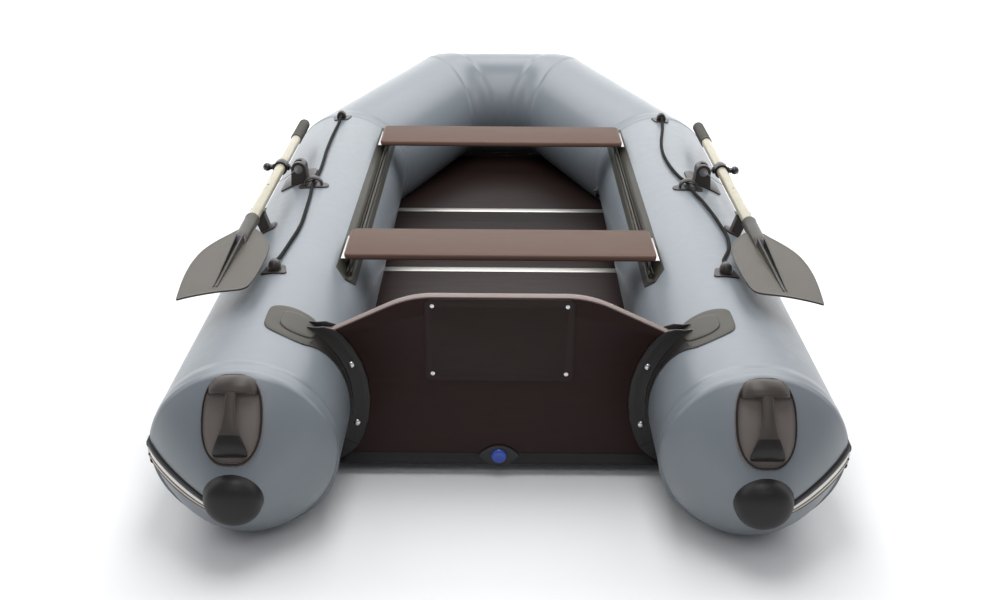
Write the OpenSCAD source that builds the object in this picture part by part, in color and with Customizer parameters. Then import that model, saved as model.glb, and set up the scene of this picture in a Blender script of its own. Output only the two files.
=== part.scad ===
// Inflatable dinghy: air tubes round a plywood floor, with a transom, two seats and a pair of oars.
// X is athwartships (starboard positive), Y runs from stern to bow, Z is up. Millimetres.
// Heights count from the ground under the tubes. Inside the modules Y counts forward from the
// transom's aft face, and the whole boat is then moved so that Y = 0 is the middle of its length.

/* [Air tubes] */
// Diameter of the air tubes
tube_d = 400; // [340:5:450]
// Distance between the centre lines of the two side tubes
tube_spacing = 1080; // [960:10:1250]
// Transom's aft face to the mitre between side tube and bow tube
side_len = 1870; // [1600:10:2300]
// Forward run of each angled bow tube
bow_run = 710; // [600:10:900]
// Centre line length of the straight tube across the bow
bow_w = 430; // [360:10:560]
// How far the bow tube's centre line rises above the side tubes'
bow_rise = 68; // [20:2:120]
// Wall of the coated fabric
skin_t = 1; // [0.8:0.1:1.5]
// Transom's aft face to the seam of the tail cones
tail_len = 250; // [200:10:400]
// Length of the tail cones
cone_len = 150; // [120:5:260]
// Downward slope of the tail cones' axis, in degrees
cone_droop = 12.8; // [0:0.2:16]
// Diameter of the rubber caps on the tail cones
cap_d = 120; // [90:5:150]
// Height of those caps
cap_h = 36; // [25:1:60]

/* [Rub strake] */
// Width of the strake along the outer side
strake_w = 62; // [40:2:90]
// Thickness of the strake
strake_t = 7; // [4:0.5:12]
// Angle of the strake's middle below the tube's widest line, in degrees
strake_drop = 7; // [0:1:20]

/* [Transom] */
// Thickness of the plywood
transom_t = 27; // [20:1:40]
// Height of the top edge above the ground
transom_top = 452; // [380:2:520]
// Height of the lower edge above the ground
transom_low = 33; // [20:1:60]
// Width of the level top edge
transom_top_w = 345; // [280:5:420]
// Height of the shoulders
shoulder_z = 370; // [340:2:400]
// Distance between the inner ends of the shoulders
shoulder_w = 760; // [640:10:800]
// Thickness of the rubber that lies on the tube
holder_t = 7.5; // [5:0.5:12]
// How far the holder's flanges reach past the tube
holder_reach = 36; // [25:1:50]
// Thickness of the holder's flanges
holder_flange = 5; // [3:0.5:8]
// Width and height of the motor plates
motor_plate = [338, 200]; // [150:5:360]
// Thickness of the motor plates
plate_t = 4; // [2:0.5:8]
// Radius of the drain
drain_r = 14; // [10:0.5:20]

/* [Floor] */
// Height of the floor's top face
floor_z = 70; // [60:1:100]
// Thickness of the floorboards
board_t = 10; // [8:0.5:15]
// Length of a floorboard from joint to joint
board_len = 601; // [500:1:700]
// Width of the joint bars' flanges
bar_w = 36; // [24:1:50]
// Wall of the aluminium bars and edge stringers
bar_t = 1.6; // [1.2:0.1:2.5]

/* [Seats] */
// Length of a seat across the boat
seat_l = 806; // [760:2:900]
// Width of a seat
seat_w = 205; // [160:5:260]
// Thickness of a seat
seat_t = 18; // [12:1:25]
// Transom's aft face to the aft seat's near edge
aft_seat_y = 454; // [430:2:600]
// Transom's aft face to the forward seat's near edge
forward_seat_y = 1550; // [1300:5:1600]
// Height of the seats' underside above the centre of the rail channel
seat_lift = 24; // [18:1:40]
// Angle of the seat rails from the tubes' top line, in degrees
rail_angle = 47; // [40:1:55]
// Width of the rails' glued flange
rail_w = 72; // [50:2:90]
// Rails' ends, forward of the transom's aft face
rail_ends = [425, 1825]; // [400:5:1900]

/* [Oars] */
// Diameter of the oar shafts
shaft_d = 30; // [25:1:36]
// Wall of the oar shafts
shaft_wall = 1.5; // [1.2:0.1:2]
// Axis of the oarlock: distance from the boat's centre line, forward of the transom, height
lock_at = [600, 1068, 436]; // [400:1:1200]
// Reach of the oarlock pin from that axis to the shaft's centre
pin_reach = 55; // [48:1:70]
// Diameter of the oarlock pin
pin_d = 10; // [8:0.5:14]
// Diameter of the yoke's barrel in the rubber block
barrel_d = 26; // [22:1:32]
// Forward end of the grip, forward of the transom's aft face
oar_head = 1580; // [1500:5:1650]
// Length of the grip
grip_len = 205; // [120:5:240]
// Where the upper and lower shafts meet
shaft_joint = 803; // [760:1:900]
// Forward rim of the blade's socket
socket_rim = 578; // [540:1:620]
// Length of the blade's socket
socket_len = 172; // [140:2:200]
// Thickness of the blade
blade_t = 4; // [3:0.5:6]
// Where the clip holds the shaft
clip_y = 672; // [640:1:720]

/* [Grab ropes and fittings] */
// Diameter of the grab ropes
rope_d = 10; // [8:0.5:12]
// Forward places of the aft dome, the arch and the forward dome on each rope
rope_fittings = [300, 1003, 1800]; // [200:10:1900]
// Angles of those three fittings from the tubes' top line, in degrees
rope_angles = [4, 3, 5]; // [-10:1:20]

/* [Hidden] */
$fn = 128;

// Clearances
seat_gap = 0.3;       // between a soft or curved piece and what carries it
running = 0.05;       // radial, in a turning fit
loose = 0.4;          // between sliding pieces
butt = 0.1;           // from a joint's plane to the end of a strip that meets the next one there
reach = 2000;         // larger than any cut needs

// Tubes: joints of the starboard centre line, from the tail seam to the middle of the bow
tube_r = tube_d / 2;
half_beam = tube_spacing / 2;
tail_joint = [half_beam, -tail_len, tube_r];
side_mitre = [half_beam, side_len, tube_r];
bow_mitre = [bow_w / 2, side_len + bow_run, tube_r + bow_rise];
bow_y = bow_mitre.y;
bow_z = bow_mitre.z;

function unit(v) = v / norm(v);
function reflected(v, n) = v - 2 * (v * n) * n;

tail_dir = [0, cos(cone_droop), sin(cone_droop)];
side_dir = [0, 1, 0];
angled_dir = unit(bow_mitre - side_mitre);
front_dir = [-1, 0, 0];
tail_plane = unit(tail_dir + side_dir);
side_plane = unit(side_dir + angled_dir);
bow_plane = unit(angled_dir + front_dir);
side_out = [1, 0, 0];
angled_out = -reflected(-side_out, side_plane);
front_out = reflected(angled_out, bow_plane);

// Length of the whole boat and the move that brings its middle to Y = 0
cap_r = cap_d / 2;
bow_end = bow_y + tube_r + seat_gap + strake_t;
cap_aft = sqrt(pow(cap_h * cos(cone_droop), 2) + pow(cap_r * sin(cone_droop), 2));
stern_end = -tail_len - cone_len * cos(cone_droop) - cap_aft;
mid_y = (bow_end + stern_end) / 2;

// Tail cone: radius at a distance s from its seam; it starts level with the tube and bulges
cone_bulge = 1.35;
function cone_r(s) = cap_r + (tube_r - cap_r) * (1 - pow(max(s, 0) / cone_len, cone_bulge));
cone_steps = [for (i = [0:10]) i / 10 * cone_len];
cone_lead = 60;

// Floor
floor_low = floor_z - board_t;
stringer_top = floor_z + bar_t + 1;
stringer_low = floor_low - bar_t - 1;
function tube_edge(z) = half_beam - sqrt(pow(tube_r, 2) - pow(tube_r - z, 2));
stringer_x = tube_edge(stringer_top) - seat_gap;
stringer_w = 15;
board_half = stringer_x - bar_t - loose;
floor_aft = transom_t + plate_t + 6;
floor_joints = [for (i = [1:3]) i * board_len - 20];
floor_front = bow_y - 92;
bow_turn = atan2(half_beam - bow_w / 2, bow_run);
// Half width that the angled bow tubes leave at height z
function bow_half(y, z) =
  let (f = (y - side_len) / bow_run, zc = tube_r + bow_rise * f)
  half_beam - (half_beam - bow_w / 2) * f
  - sqrt(max(pow(tube_r, 2) - pow(zc - z, 2), 0)) / cos(bow_turn) - 2;

// Seats and rails
channel_r = 8;
channel_bore = 5;
channel_offset = 10;
channel_x = half_beam - (tube_r + channel_offset) * sin(rail_angle);
channel_z = tube_r + (tube_r + channel_offset) * cos(rail_angle);
seat_low = channel_z + seat_lift;
runner_t = 2;
runner_w = 34;
rail_t = 2.5;

// Oars
shaft_r = shaft_d / 2;
lock_x = lock_at.x;
lock_y = lock_at.y;
lock_z = lock_at.z;
oar_x = lock_x + pin_reach;
ball_x = oar_x + 41;
ball_r = 12.5;
barrel_len = 52;
barrel_wall = 8;
pin_r = pin_d / 2;
socket_wall = 4;
socket_end = socket_rim - socket_len;
button_y = socket_rim + 20;
button_r = 4.5;
button_travel = 3.5;
button_head = shaft_r - 5;
hole_y = shaft_joint + 38;
spigot_len = 70;
// Blade outline: outboard of the shaft's axis, then forward of the transom's aft face
blade_outline = [
  [-20, 505], [-50, 455], [-73, 405], [-83, 340], [-85, 270], [-83, 190], [-78, 118], [-69, 82],
  [-45, 68], [0, 52], [45, 28], [72, 8], [82, 90], [90, 200], [89, 270], [82, 335], [62, 400],
  [34, 460], [20, 505]
];

// Grab ropes: centre line points, outboard of the boat's middle, forward, height
port_rope_route = [
  [554, 306, 413], [554, 320, 413], [553, 338, 412], [551, 375, 407], [547, 430, 406],
  [542, 500, 406], [537, 570, 406], [535, 640, 406], [537, 710, 406], [540, 780, 406],
  [543, 850, 406], [547, 920, 407], [550, 965, 410], [551, 1003, 411], [550, 1038, 410],
  [549, 1080, 407], [549, 1160, 406], [552, 1250, 406], [556, 1340, 406], [558, 1430, 406],
  [559, 1520, 406], [559, 1610, 405], [558, 1690, 405], [557, 1740, 408], [557, 1762, 412],
  [557, 1780, 413], [557, 1794, 413]
];
starboard_rope_route = [
  [554, 306, 413], [554, 320, 413], [555, 338, 412], [560, 375, 407], [573, 420, 403],
  [588, 470, 401], [597, 530, 399], [600, 590, 398], [596, 660, 399], [590, 730, 401],
  [582, 800, 403], [572, 870, 405], [560, 930, 407], [553, 968, 410], [551, 1003, 411],
  [547, 1038, 410], [538, 1085, 407], [528, 1150, 406], [520, 1230, 406], [516, 1320, 406],
  [518, 1410, 406], [526, 1500, 406], [538, 1590, 406], [549, 1670, 405], [555, 1730, 407],
  [557, 1762, 412], [557, 1780, 413], [557, 1794, 413]
];
rope_sides = 8;

// ---------------------------------------------------------------- general shapes

module port() { mirror([1, 0, 0]) children(); }

// Local Z runs along d and local X along o
module frame_at(p, d, o) {
  c = cross(d, o);
  multmatrix([
    [o.x, c.x, d.x, p.x],
    [o.y, c.y, d.y, p.y],
    [o.z, c.z, d.z, p.z]
  ]) children();
}

// All space on the side of a plane that n points to
module beyond(p, n)
  translate(p) rotate([0, acos(n.z), atan2(n.y, n.x)])
    translate([-reach / 2, -reach / 2, 0]) cube([reach, reach, 2 * reach]);

// Straight pipe from a to b, cut by the planes at its ends
module mitred_pipe(a, b, o, plane_a, plane_b, outer, inner) {
  d = unit(b - a);
  intersection() {
    frame_at(a, d, o) translate([0, 0, -outer])
      difference() {
        cylinder(r = outer, h = norm(b - a) + 2 * outer);
        translate([0, 0, -1]) cylinder(r = inner, h = norm(b - a) + 2 * outer + 2);
      }
    beyond(a, plane_a);
    beyond(b, -plane_b);
  }
}

// Curved band along such a pipe, between two angles from local X; lengths meet end to end
module mitred_band(a, b, o, plane_a, plane_b, t, from, to) {
  d = unit(b - a);
  intersection() {
    frame_at(a, d, o) translate([0, 0, -tube_d])
      rotate([0, 0, from]) rotate_extrude(angle = to - from)
        translate([tube_r + seat_gap, 0]) square([t, norm(b - a) + 2 * tube_d]);
    beyond(a + butt * plane_a, plane_a);
    beyond(b - butt * plane_b, -plane_b);
  }
}

module rounded(size, r) {
  square([size.x - 2 * r, size.y], center = true);
  square([size.x, size.y - 2 * r], center = true);
  for (sx = [-1, 1], sy = [-1, 1])
    translate([sx * (size.x / 2 - r), sy * (size.y / 2 - r)]) circle(r = r);
}

module rod_y(r, y0, y1) translate([0, y0, 0]) rotate([-90, 0, 0]) cylinder(r = r, h = y1 - y0);
module rod_x(r, x0, x1) translate([x0, 0, 0]) rotate([0, 90, 0]) cylinder(r = r, h = x1 - x0);

// A shape drawn in X and Z, extruded along Y
module along_y(y0, y1) translate([0, y1, 0]) rotate([90, 0, 0]) linear_extrude(y1 - y0) children();

// Starboard side tube as a solid, for seats cut to its surface
module side_core(r) translate([half_beam, 0, tube_r]) rod_y(r, -tail_len, side_len);

// Local Z points out of the starboard tube's skin, at an angle outboard from its top line
module on_tube(y, angle) translate([half_beam, y, tube_r]) rotate([0, angle, 0]) children();

// Thin plate that follows the tube's skin; its outline is seen along local Z
module curved_plate(y, angle, t)
  intersection() {
    on_tube(y, angle) linear_extrude(2 * tube_r) children();
    difference() {
      side_core(tube_r + t);
      side_core(tube_r + seat_gap);
    }
  }

// ---------------------------------------------------------------- air tubes

module side_skin()
  color("#a9b0b5")
    mitred_pipe(tail_joint, side_mitre, side_out, tail_plane, side_plane, tube_r, tube_r - skin_t);

module angled_skin()
  color("#a2a9a8")
    mitred_pipe(side_mitre, bow_mitre, angled_out, side_plane, bow_plane, tube_r, tube_r - skin_t);

module bow_tube()
  color("#9ca3a0")
    mitred_pipe(
      bow_mitre, [-bow_mitre.x, bow_y, bow_z], front_out,
      bow_plane, [bow_plane.x, -bow_plane.y, -bow_plane.z], tube_r, tube_r - skin_t
    );

// Local Z runs aft along the cone's axis, and local Y points up
module tail_frame() frame_at(tail_joint, -tail_dir, side_out) children();

// Outline of the tail cone's surface, grown by g
function cone_line(g) = concat(
  [[tube_r + g, -cone_lead]], [for (s = cone_steps) [cone_r(s) + g, s]]
);

module cone_shell(outer, inner, from = 0, to = 360)
  rotate([0, 0, from]) rotate_extrude(angle = to - from)
    polygon(concat(cone_line(outer), [for (i = [len(cone_steps):-1:0]) cone_line(inner)[i]]));

module tail_skin()
  color("#a9b0b5")
    intersection() {
      tail_frame() cone_shell(0, -skin_t);
      beyond(tail_joint, -tail_plane);
    }

module tail_core(g)
  tail_frame() rotate_extrude()
    polygon(concat([[0, -cone_lead]], cone_line(g), [[0, cone_len]]));

module tail_cap_one() {
  skirt = 5;
  steps = 12;
  tail_frame() translate([0, 0, cone_len]) rotate_extrude()
    polygon(concat(
      [[0, 0], [cap_r, 0]],
      [for (i = [0:steps]) let (a = 90 * i / steps)
        [cap_r * cos(a), skirt + (cap_h - skirt) * sin(a)]]
    ));
}

module tail_caps() color("#2f2d2c") { tail_cap_one(); port() tail_cap_one(); }

module chamber_baffles() {
  at = [half_beam, side_len - 170, tube_r];
  color("#8d9499") {
    translate(at) rod_y(tube_r - skin_t - seat_gap, 0, skin_t);
    port() translate(at) rod_y(tube_r - skin_t - seat_gap, 0, skin_t);
  }
}

// ---------------------------------------------------------------- carry handles

handle_l = 188;
handle_w = 126;
handle_floor = 5;
handle_rim = 11;
handle_gap = 14;
handle_bar_t = 11;

module handle_outline(inset)
  intersection() {
    rounded([handle_w - 2 * inset, handle_l - 2 * inset], 50 - inset);
    translate([0, -26]) circle(r = handle_l - 66 - inset);
  }

// Moulding with a recessed oval dish and a raised bar over it; local Y points up the slope
module handle_body(depth) {
  bar_low = handle_floor + handle_gap;
  bar_top = bar_low + handle_bar_t;
  foot = handle_l / 2 - 12;
  difference() {
    translate([0, 0, -depth]) linear_extrude(depth + handle_rim) handle_outline(0);
    translate([0, 0, handle_floor]) linear_extrude(handle_rim) handle_outline(7);
  }
  intersection() {
    translate([0, 0, handle_floor]) linear_extrude(bar_top) {
      square([17, 2 * foot], center = true);
      polygon([[-9, -10], [9, -10], [27, -foot], [-27, -foot]]);
      polygon([[-9, 30], [9, 30], [22, foot], [-22, foot]]);
    }
    translate([-handle_w / 2, 0, 0]) rotate([90, 0, 90]) linear_extrude(handle_w)
      polygon([
        [-foot, handle_floor], [-foot + 16, handle_floor], [-42, bar_low], [44, bar_low],
        [foot - 20, handle_floor], [foot, handle_floor], [foot - 14, bar_top - 6],
        [44, bar_top], [-40, bar_top], [-foot + 4, handle_floor + 9]
      ]);
  }
}

// On the sloping top of the tail cone
handle_s = cone_len / 2 + 1;
handle_slope = atan(
  (tube_r - cap_r) * cone_bulge * pow(handle_s / cone_len, cone_bulge - 1) / cone_len
);
module tail_handle()
  difference() {
    tail_frame() translate([0, cone_r(handle_s), handle_s])
      rotate([handle_slope - 90, 0, 0]) handle_body(42);
    tail_core(seat_gap);
    tail_frame() translate([0, 0, cone_len - 1]) cylinder(r = cap_r + 1, h = cap_h + 20);
  }

// On the forward face of the tube across the bow
module bow_handle()
  color("#343130") difference() {
    translate([0, bow_y, bow_z]) rotate([-48, 0, 0]) translate([0, 0, tube_r])
      rotate([0, 0, 90]) handle_body(12);
    translate([0, bow_y, bow_z]) rod_x(tube_r + seat_gap, -reach / 4, reach / 4);
  }

module starboard_tail_handle() color("#343130") tail_handle();
module port_tail_handle() color("#343130") port() tail_handle();

// ---------------------------------------------------------------- rub strake

strake_half = strake_w / 2 / tube_r * 180 / PI;
strake_from = strake_drop - strake_half;
strake_to = strake_drop + strake_half;

module strake_side() {
  mitred_band(tail_joint, side_mitre, side_out, tail_plane, side_plane,
    strake_t, strake_from, strake_to);
  mitred_band(side_mitre, bow_mitre, angled_out, side_plane, bow_plane,
    strake_t, strake_from, strake_to);
  intersection() {
    tail_frame() cone_shell(seat_gap + strake_t, seat_gap, -strake_to, -strake_from);
    beyond(tail_joint - butt * tail_plane, -tail_plane);
  }
}

module rub_strake()
  color("#26272a") {
    strake_side();
    port() strake_side();
    mitred_band(
      bow_mitre, [-bow_mitre.x, bow_y, bow_z], front_out,
      bow_plane, [bow_plane.x, -bow_plane.y, -bow_plane.z], strake_t, strake_from, strake_to
    );
  }

// ---------------------------------------------------------------- bottom and keel

bottom_t = 2;
bottom_in = tube_r / 2;
angled_in = [-cos(bow_turn), -sin(bow_turn)];
function hang(inset) = sqrt(pow(tube_r, 2) - pow(inset, 2)) + seat_gap + 0.7;
function corner(p, a, b, inset) = p + inset * (a + b) / (1 + a * b);
edge_side = corner([side_mitre.x, side_mitre.y], [-1, 0], angled_in, bottom_in);
edge_low = tube_r - hang(bottom_in);
edge_high = bow_z - hang(0) - 1.2;
// Along the angled tube the edge moves from the tube's inner side to its lowest line
function edge_between(f) =
  let (inset = bottom_in * (1 - f), p = side_mitre + (bow_mitre - side_mitre) * f)
  [p.x + inset * angled_in.x, p.y + inset * angled_in.y, p.z - hang(inset) - 1.2];
bottom_edge = concat(
  [for (y = [transom_t, 500, 1300]) [edge_side.x, y, edge_low]],
  [[edge_side.x, edge_side.y, edge_low]],
  [for (f = [0.33, 0.66, 0.85, 1]) edge_between(f)]
);
keel_line = [transom_low - 4, 13, 6, 14, 26, 40, 50, edge_high];

module bottom_half() {
  n = len(bottom_edge);
  top = concat(
    [for (p = bottom_edge) p],
    [for (i = [0:n - 1]) [0, bottom_edge[i].y, min(keel_line[i], edge_high)]]
  );
  low = [for (p = top) p - [0, 0, bottom_t]];
  strips = [for (i = [0:n - 2]) each [
    [i, i + 1, n + i], [i + 1, n + i + 1, n + i],
    [2 * n + i, 3 * n + i, 2 * n + i + 1], [2 * n + i + 1, 3 * n + i, 3 * n + i + 1],
    [i, 2 * n + i, i + 1], [i + 1, 2 * n + i, 2 * n + i + 1],
    [n + i, n + i + 1, 3 * n + i], [n + i + 1, 3 * n + i + 1, 3 * n + i]
  ]];
  ends = [
    [0, n, 2 * n], [n, 3 * n, 2 * n],
    [n - 1, 3 * n - 1, 2 * n - 1], [2 * n - 1, 3 * n - 1, 4 * n - 1]
  ];
  polyhedron(concat(top, low), concat(strips, ends));
}

module bottom_skin() color("#55564f") { bottom_half(); port() bottom_half(); }

module keel_tube() {
  keel_top = floor_low - bar_t - seat_gap;
  keel_r = (keel_top - 16) / 2;
  color("#8d9499")
    translate([0, 0, keel_top - keel_r]) rod_y(keel_r, 620, side_len - 90);
}

// ---------------------------------------------------------------- floor

module board(y0, y1) {
  web = bar_t / 2 + 0.2;
  translate([-board_half, y0 + web, floor_low]) cube([2 * board_half, y1 - y0 - 2 * web, board_t]);
}

module aft_floorboard() color("#33231f") board(floor_aft, floor_joints[0]);
module middle_aft_floorboard() color("#33231f") board(floor_joints[0], floor_joints[1]);
module middle_forward_floorboard() color("#33231f") board(floor_joints[1], floor_joints[2]);

module bow_floorboard() {
  stations = [for (i = [0:6]) side_len + 10 + (floor_front - side_len - 10) * i / 6];
  right = concat(
    [[board_half, floor_joints[2] + bar_t / 2 + 0.2], [board_half, side_len - 35]],
    [for (y = stations) [min(bow_half(y, floor_z), board_half), y]]
  );
  left = [for (i = [len(right) - 1:-1:0]) [-right[i].x, right[i].y]];
  color("#33231f")
    translate([0, 0, floor_low]) linear_extrude(board_t) polygon(concat(right, left));
}

// H section across the boat, between two boards
module joint_bar(y)
  translate([-stringer_x + stringer_w + loose, y, 0]) rotate([90, 0, 90])
    linear_extrude(2 * (stringer_x - stringer_w - loose)) {
      translate([-bar_t / 2, floor_low]) square([bar_t, board_t]);
      translate([-bar_w / 2, floor_z]) square([bar_w, bar_t]);
      translate([-bar_w / 2, floor_low - bar_t]) square([bar_w, bar_t]);
    }

module floor_joint_bars() color("#e6e4dc") for (y = floor_joints) joint_bar(y);

// Channel that grips the boards' outer edges
module stringer(y0, y1)
  color("#c9cbcc")
    along_y(y0, y1)
      difference() {
        translate([stringer_x - stringer_w, stringer_low])
          square([stringer_w, stringer_top - stringer_low]);
        translate([stringer_x - stringer_w - 1, floor_low - 0.2])
          square([stringer_w - bar_t + 1, board_t + 0.4]);
      }

module floor_stringers() {
  lengths = [[floor_aft + 4, floor_joints[1] - 60], [floor_joints[1] - 50, side_len - 60]];
  for (s = lengths) {
    stringer(s[0], s[1]);
    port() stringer(s[0], s[1]);
  }
}

// ---------------------------------------------------------------- transom

holder_r = tube_r + holder_t;
flange_r = tube_r + holder_reach;

module transom_outline()
  difference() {
    polygon([
      [-transom_top_w / 2, transom_top], [transom_top_w / 2, transom_top],
      [shoulder_w / 2, shoulder_z], [half_beam - 125, shoulder_z],
      [half_beam, tube_r], [half_beam - 125, transom_low],
      [-half_beam + 125, transom_low], [-half_beam, tube_r], [-half_beam + 125, shoulder_z],
      [-shoulder_w / 2, shoulder_z]
    ]);
    for (s = [-1, 1]) translate([s * half_beam, tube_r]) circle(r = holder_r + 0.2);
  }

plate_mid = transom_top - 4 - motor_plate.y / 2;
screw_inset = 17;
screw_places = [for (sx = [-1, 1], sz = [-1, 1])
  [sx * (motor_plate.x / 2 - screw_inset), plate_mid + sz * (motor_plate.y / 2 - screw_inset)]];
screw_r = 2.5;
screw_head_r = 5;
screw_head_h = 2.2;
drain_z = 55;
bolt_circle = tube_r + 20;
bolt_angles = [67, 106];
bolt_r = 3;
bolt_places = [for (s = [-1, 1], a = bolt_angles)
  [s * (half_beam - bolt_circle * sin(a)), tube_r + bolt_circle * cos(a)]];

module transom_board()
  color("#2e1f1c")
    difference() {
      along_y(0, transom_t) transom_outline();
      for (p = screw_places) translate([p.x, 0, p.y]) rod_y(screw_r, -1, transom_t + 1);
      for (p = bolt_places) translate([p.x, 0, p.y]) rod_y(bolt_r, -1, transom_t + 1);
      translate([0, 0, drain_z]) rod_y(drain_r + 3, -1, transom_t + 1);
    }

// Fabric strip that closes the joint between the bottom and the board's lower edge
module transom_flap() {
  t = 2;
  half = tube_edge(transom_low - t) - 6;
  color("#1d1c1c")
    difference() {
      union() {
        translate([-half, -t, transom_low - t]) cube([2 * half, t, 29]);
        translate([-half, -t, transom_low - t]) cube([2 * half, transom_t + t, t]);
      }
      translate([0, 0, drain_z]) rod_y(drain_r + 3, -5, 5);
      for (s = [-1, 1]) translate([s * half_beam, 0, tube_r]) rod_y(flange_r + 1, -5, 1);
      for (s = [-1, 1]) translate([s * half_beam, 0, tube_r]) rod_y(holder_r, -5, transom_t + 1);
    }
}

module motor_plate_one()
  difference() {
    along_y(0, plate_t) translate([0, plate_mid]) rounded(motor_plate, 16);
    for (p = screw_places) translate([p.x, 0, p.y]) rod_y(screw_r, -1, plate_t + 1);
    for (p = screw_places) translate([p.x, 0, p.y])
      rod_y(screw_head_r + 0.1, -1, screw_head_h + 0.4);
  }

module motor_plates()
  color("#332622") {
    translate([0, -plate_t, 0]) motor_plate_one();
    translate([0, transom_t + plate_t, 0]) mirror([0, 1, 0]) motor_plate_one();
  }

module motor_plate_screws() {
  long = transom_t + 2 * plate_t - 2 * screw_head_h - 0.8;
  for (p = screw_places) translate([p.x, -plate_t + 0.4, p.y]) {
    rod_y(screw_head_r, 0, screw_head_h);
    rod_y(screw_r - 0.1, 0, long + screw_head_h);
    rod_y(screw_head_r, long + screw_head_h, long + 2 * screw_head_h);
  }
}

// Sector of a disc round the starboard tube's centre, between two angles inboard of its top line
module wedge_in(from, to, r)
  translate([half_beam, tube_r]) polygon(concat(
    [[0, 0]], [for (i = [0:8]) let (a = from + (to - from) * i / 8) [-r * sin(a), r * cos(a)]]
  ));

module holder_one() {
  // each part: from, to, lowest angle, outer radius; the forward ones end above the floor
  parts = [
    [-20, transom_t, 132, holder_r], [transom_t, transom_t + 20, 121, holder_r],
    [-holder_flange, 0, 126, flange_r], [transom_t, transom_t + holder_flange, 121, flange_r]
  ];
  difference() {
    union() {
      for (p = parts)
        along_y(p[0], p[1]) intersection() {
          wedge_in(p[3] > holder_r ? 40 : 24, p[2], 2 * tube_r);
          translate([half_beam, tube_r]) circle(r = p[3]);
        }
      // rounded wing over the top of the tube
      intersection() {
        translate([half_beam - 84, 22, tube_r]) linear_extrude(2 * tube_r)
          rounded([150, 128], 60);
        translate([half_beam, 0, tube_r]) rod_y(tube_r + 4.5, -200, 200);
      }
    }
    side_core(tube_r + seat_gap);
    along_y(0, transom_t) transom_outline();
    for (p = bolt_places) translate([p.x, 0, p.y]) rod_y(bolt_r, -reach / 4, reach / 4);
    along_y(-holder_flange - 1, 0) translate([0, transom_top - 4 - motor_plate.y / 2])
      rounded([motor_plate.x + 2, motor_plate.y + 2], 16);
  }
}

module transom_holders() color("#3a3834") { holder_one(); port() holder_one(); }

// Dome-headed bolts with nuts
module holder_bolts() {
  head_r = 8;
  grip = transom_t + 2 * holder_flange;
  for (p = bolt_places) translate([p.x, -holder_flange, p.y]) {
    rotate([90, 0, 0]) rotate_extrude()
      polygon([[0, 0], for (a = [0:15:90]) [head_r * cos(a), 4 * sin(a)]]);
    rod_y(bolt_r - 0.1, -0.5, grip + 6);
    translate([0, grip, 0]) rotate([-90, 0, 0]) cylinder(r = 6.5, h = 5, $fn = 6);
  }
}

module transom_fasteners() color("#d5d6d8") { motor_plate_screws(); holder_bolts(); }

drain_flange_t = 4;
module drain_flange()
  color("#1f2023")
    difference() {
      union() {
        translate([0, 0, drain_z]) along_y(-2 - drain_flange_t, -2)
          intersection() {
            translate([0, 30]) circle(r = 56);
            translate([0, -30]) circle(r = 56);
          }
        translate([0, 0, drain_z]) rod_y(drain_r + 3 - seat_gap, -3, transom_t + 3);
      }
      translate([0, 0, drain_z]) rod_y(drain_r, -10, transom_t + 10);
    }

module drain_plug()
  color("#25439c")
    translate([0, -2 - drain_flange_t, drain_z]) {
      rotate([90, 0, 0]) rotate_extrude()
        polygon([[0, 0.2], [18, 0.2], [18, 2], for (a = [15:15:90]) [18 * cos(a), 2 + 6 * sin(a)]]);
      difference() {
        rod_y(drain_r - running, -0.2, 22);
        rod_y(drain_r - 3, 4, 23);
      }
    }

// ---------------------------------------------------------------- seats

module rail_one() {
  width = rail_w / tube_r * 180 / PI;
  y0 = rail_ends[0];
  y1 = rail_ends[1];
  difference() {
    union() {
      on_tube(0, -rail_angle) rotate([-90, 0, 0]) rotate([0, 0, -90 - width / 2])
        translate([0, 0, y0]) rotate_extrude(angle = width)
          translate([tube_r + seat_gap, 0]) square([rail_t, y1 - y0]);
      along_y(y0, y1) translate([channel_x, channel_z]) circle(r = channel_r);
    }
    side_core(tube_r + seat_gap);
    along_y(y0 - 1, y1 + 1) translate([channel_x, channel_z]) {
      circle(r = channel_bore);
      translate([-2.5, 0]) square([5, 2 * channel_r]);
    }
  }
}

module seat_rails() color("#4a463a") { rail_one(); port() rail_one(); }

module seat_plank(y)
  color("#6b5446")
    translate([0, y + seat_w / 2, seat_low + runner_t])
      linear_extrude(seat_t) rounded([seat_l, seat_w], 18);

module runner(y) {
  long = seat_w - 30;
  color("#b8babc")
    along_y(y + 15, y + 15 + long) {
      translate([channel_x - runner_w / 2 + 8, seat_low]) square([runner_w, runner_t]);
      translate([channel_x - 1.5, channel_z]) square([3, seat_lift + 0.5]);
      translate([channel_x, channel_z]) circle(r = channel_bore - loose);
    }
}

module runner_screws(y)
  color("#c8cacc")
    for (f = [0.2, 0.5, 0.8])
      translate([channel_x + 13, y + seat_w * f, seat_low - 1.8]) cylinder(r = 4.5, h = 1.8);

module seat_runners(y) {
  runner(y);
  port() runner(y);
  runner_screws(y);
  port() runner_screws(y);
}

module aft_seat() seat_plank(aft_seat_y);
module forward_seat() seat_plank(forward_seat_y);
module aft_seat_runners() seat_runners(aft_seat_y);
module forward_seat_runners() seat_runners(forward_seat_y);

// ---------------------------------------------------------------- oarlocks

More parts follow.
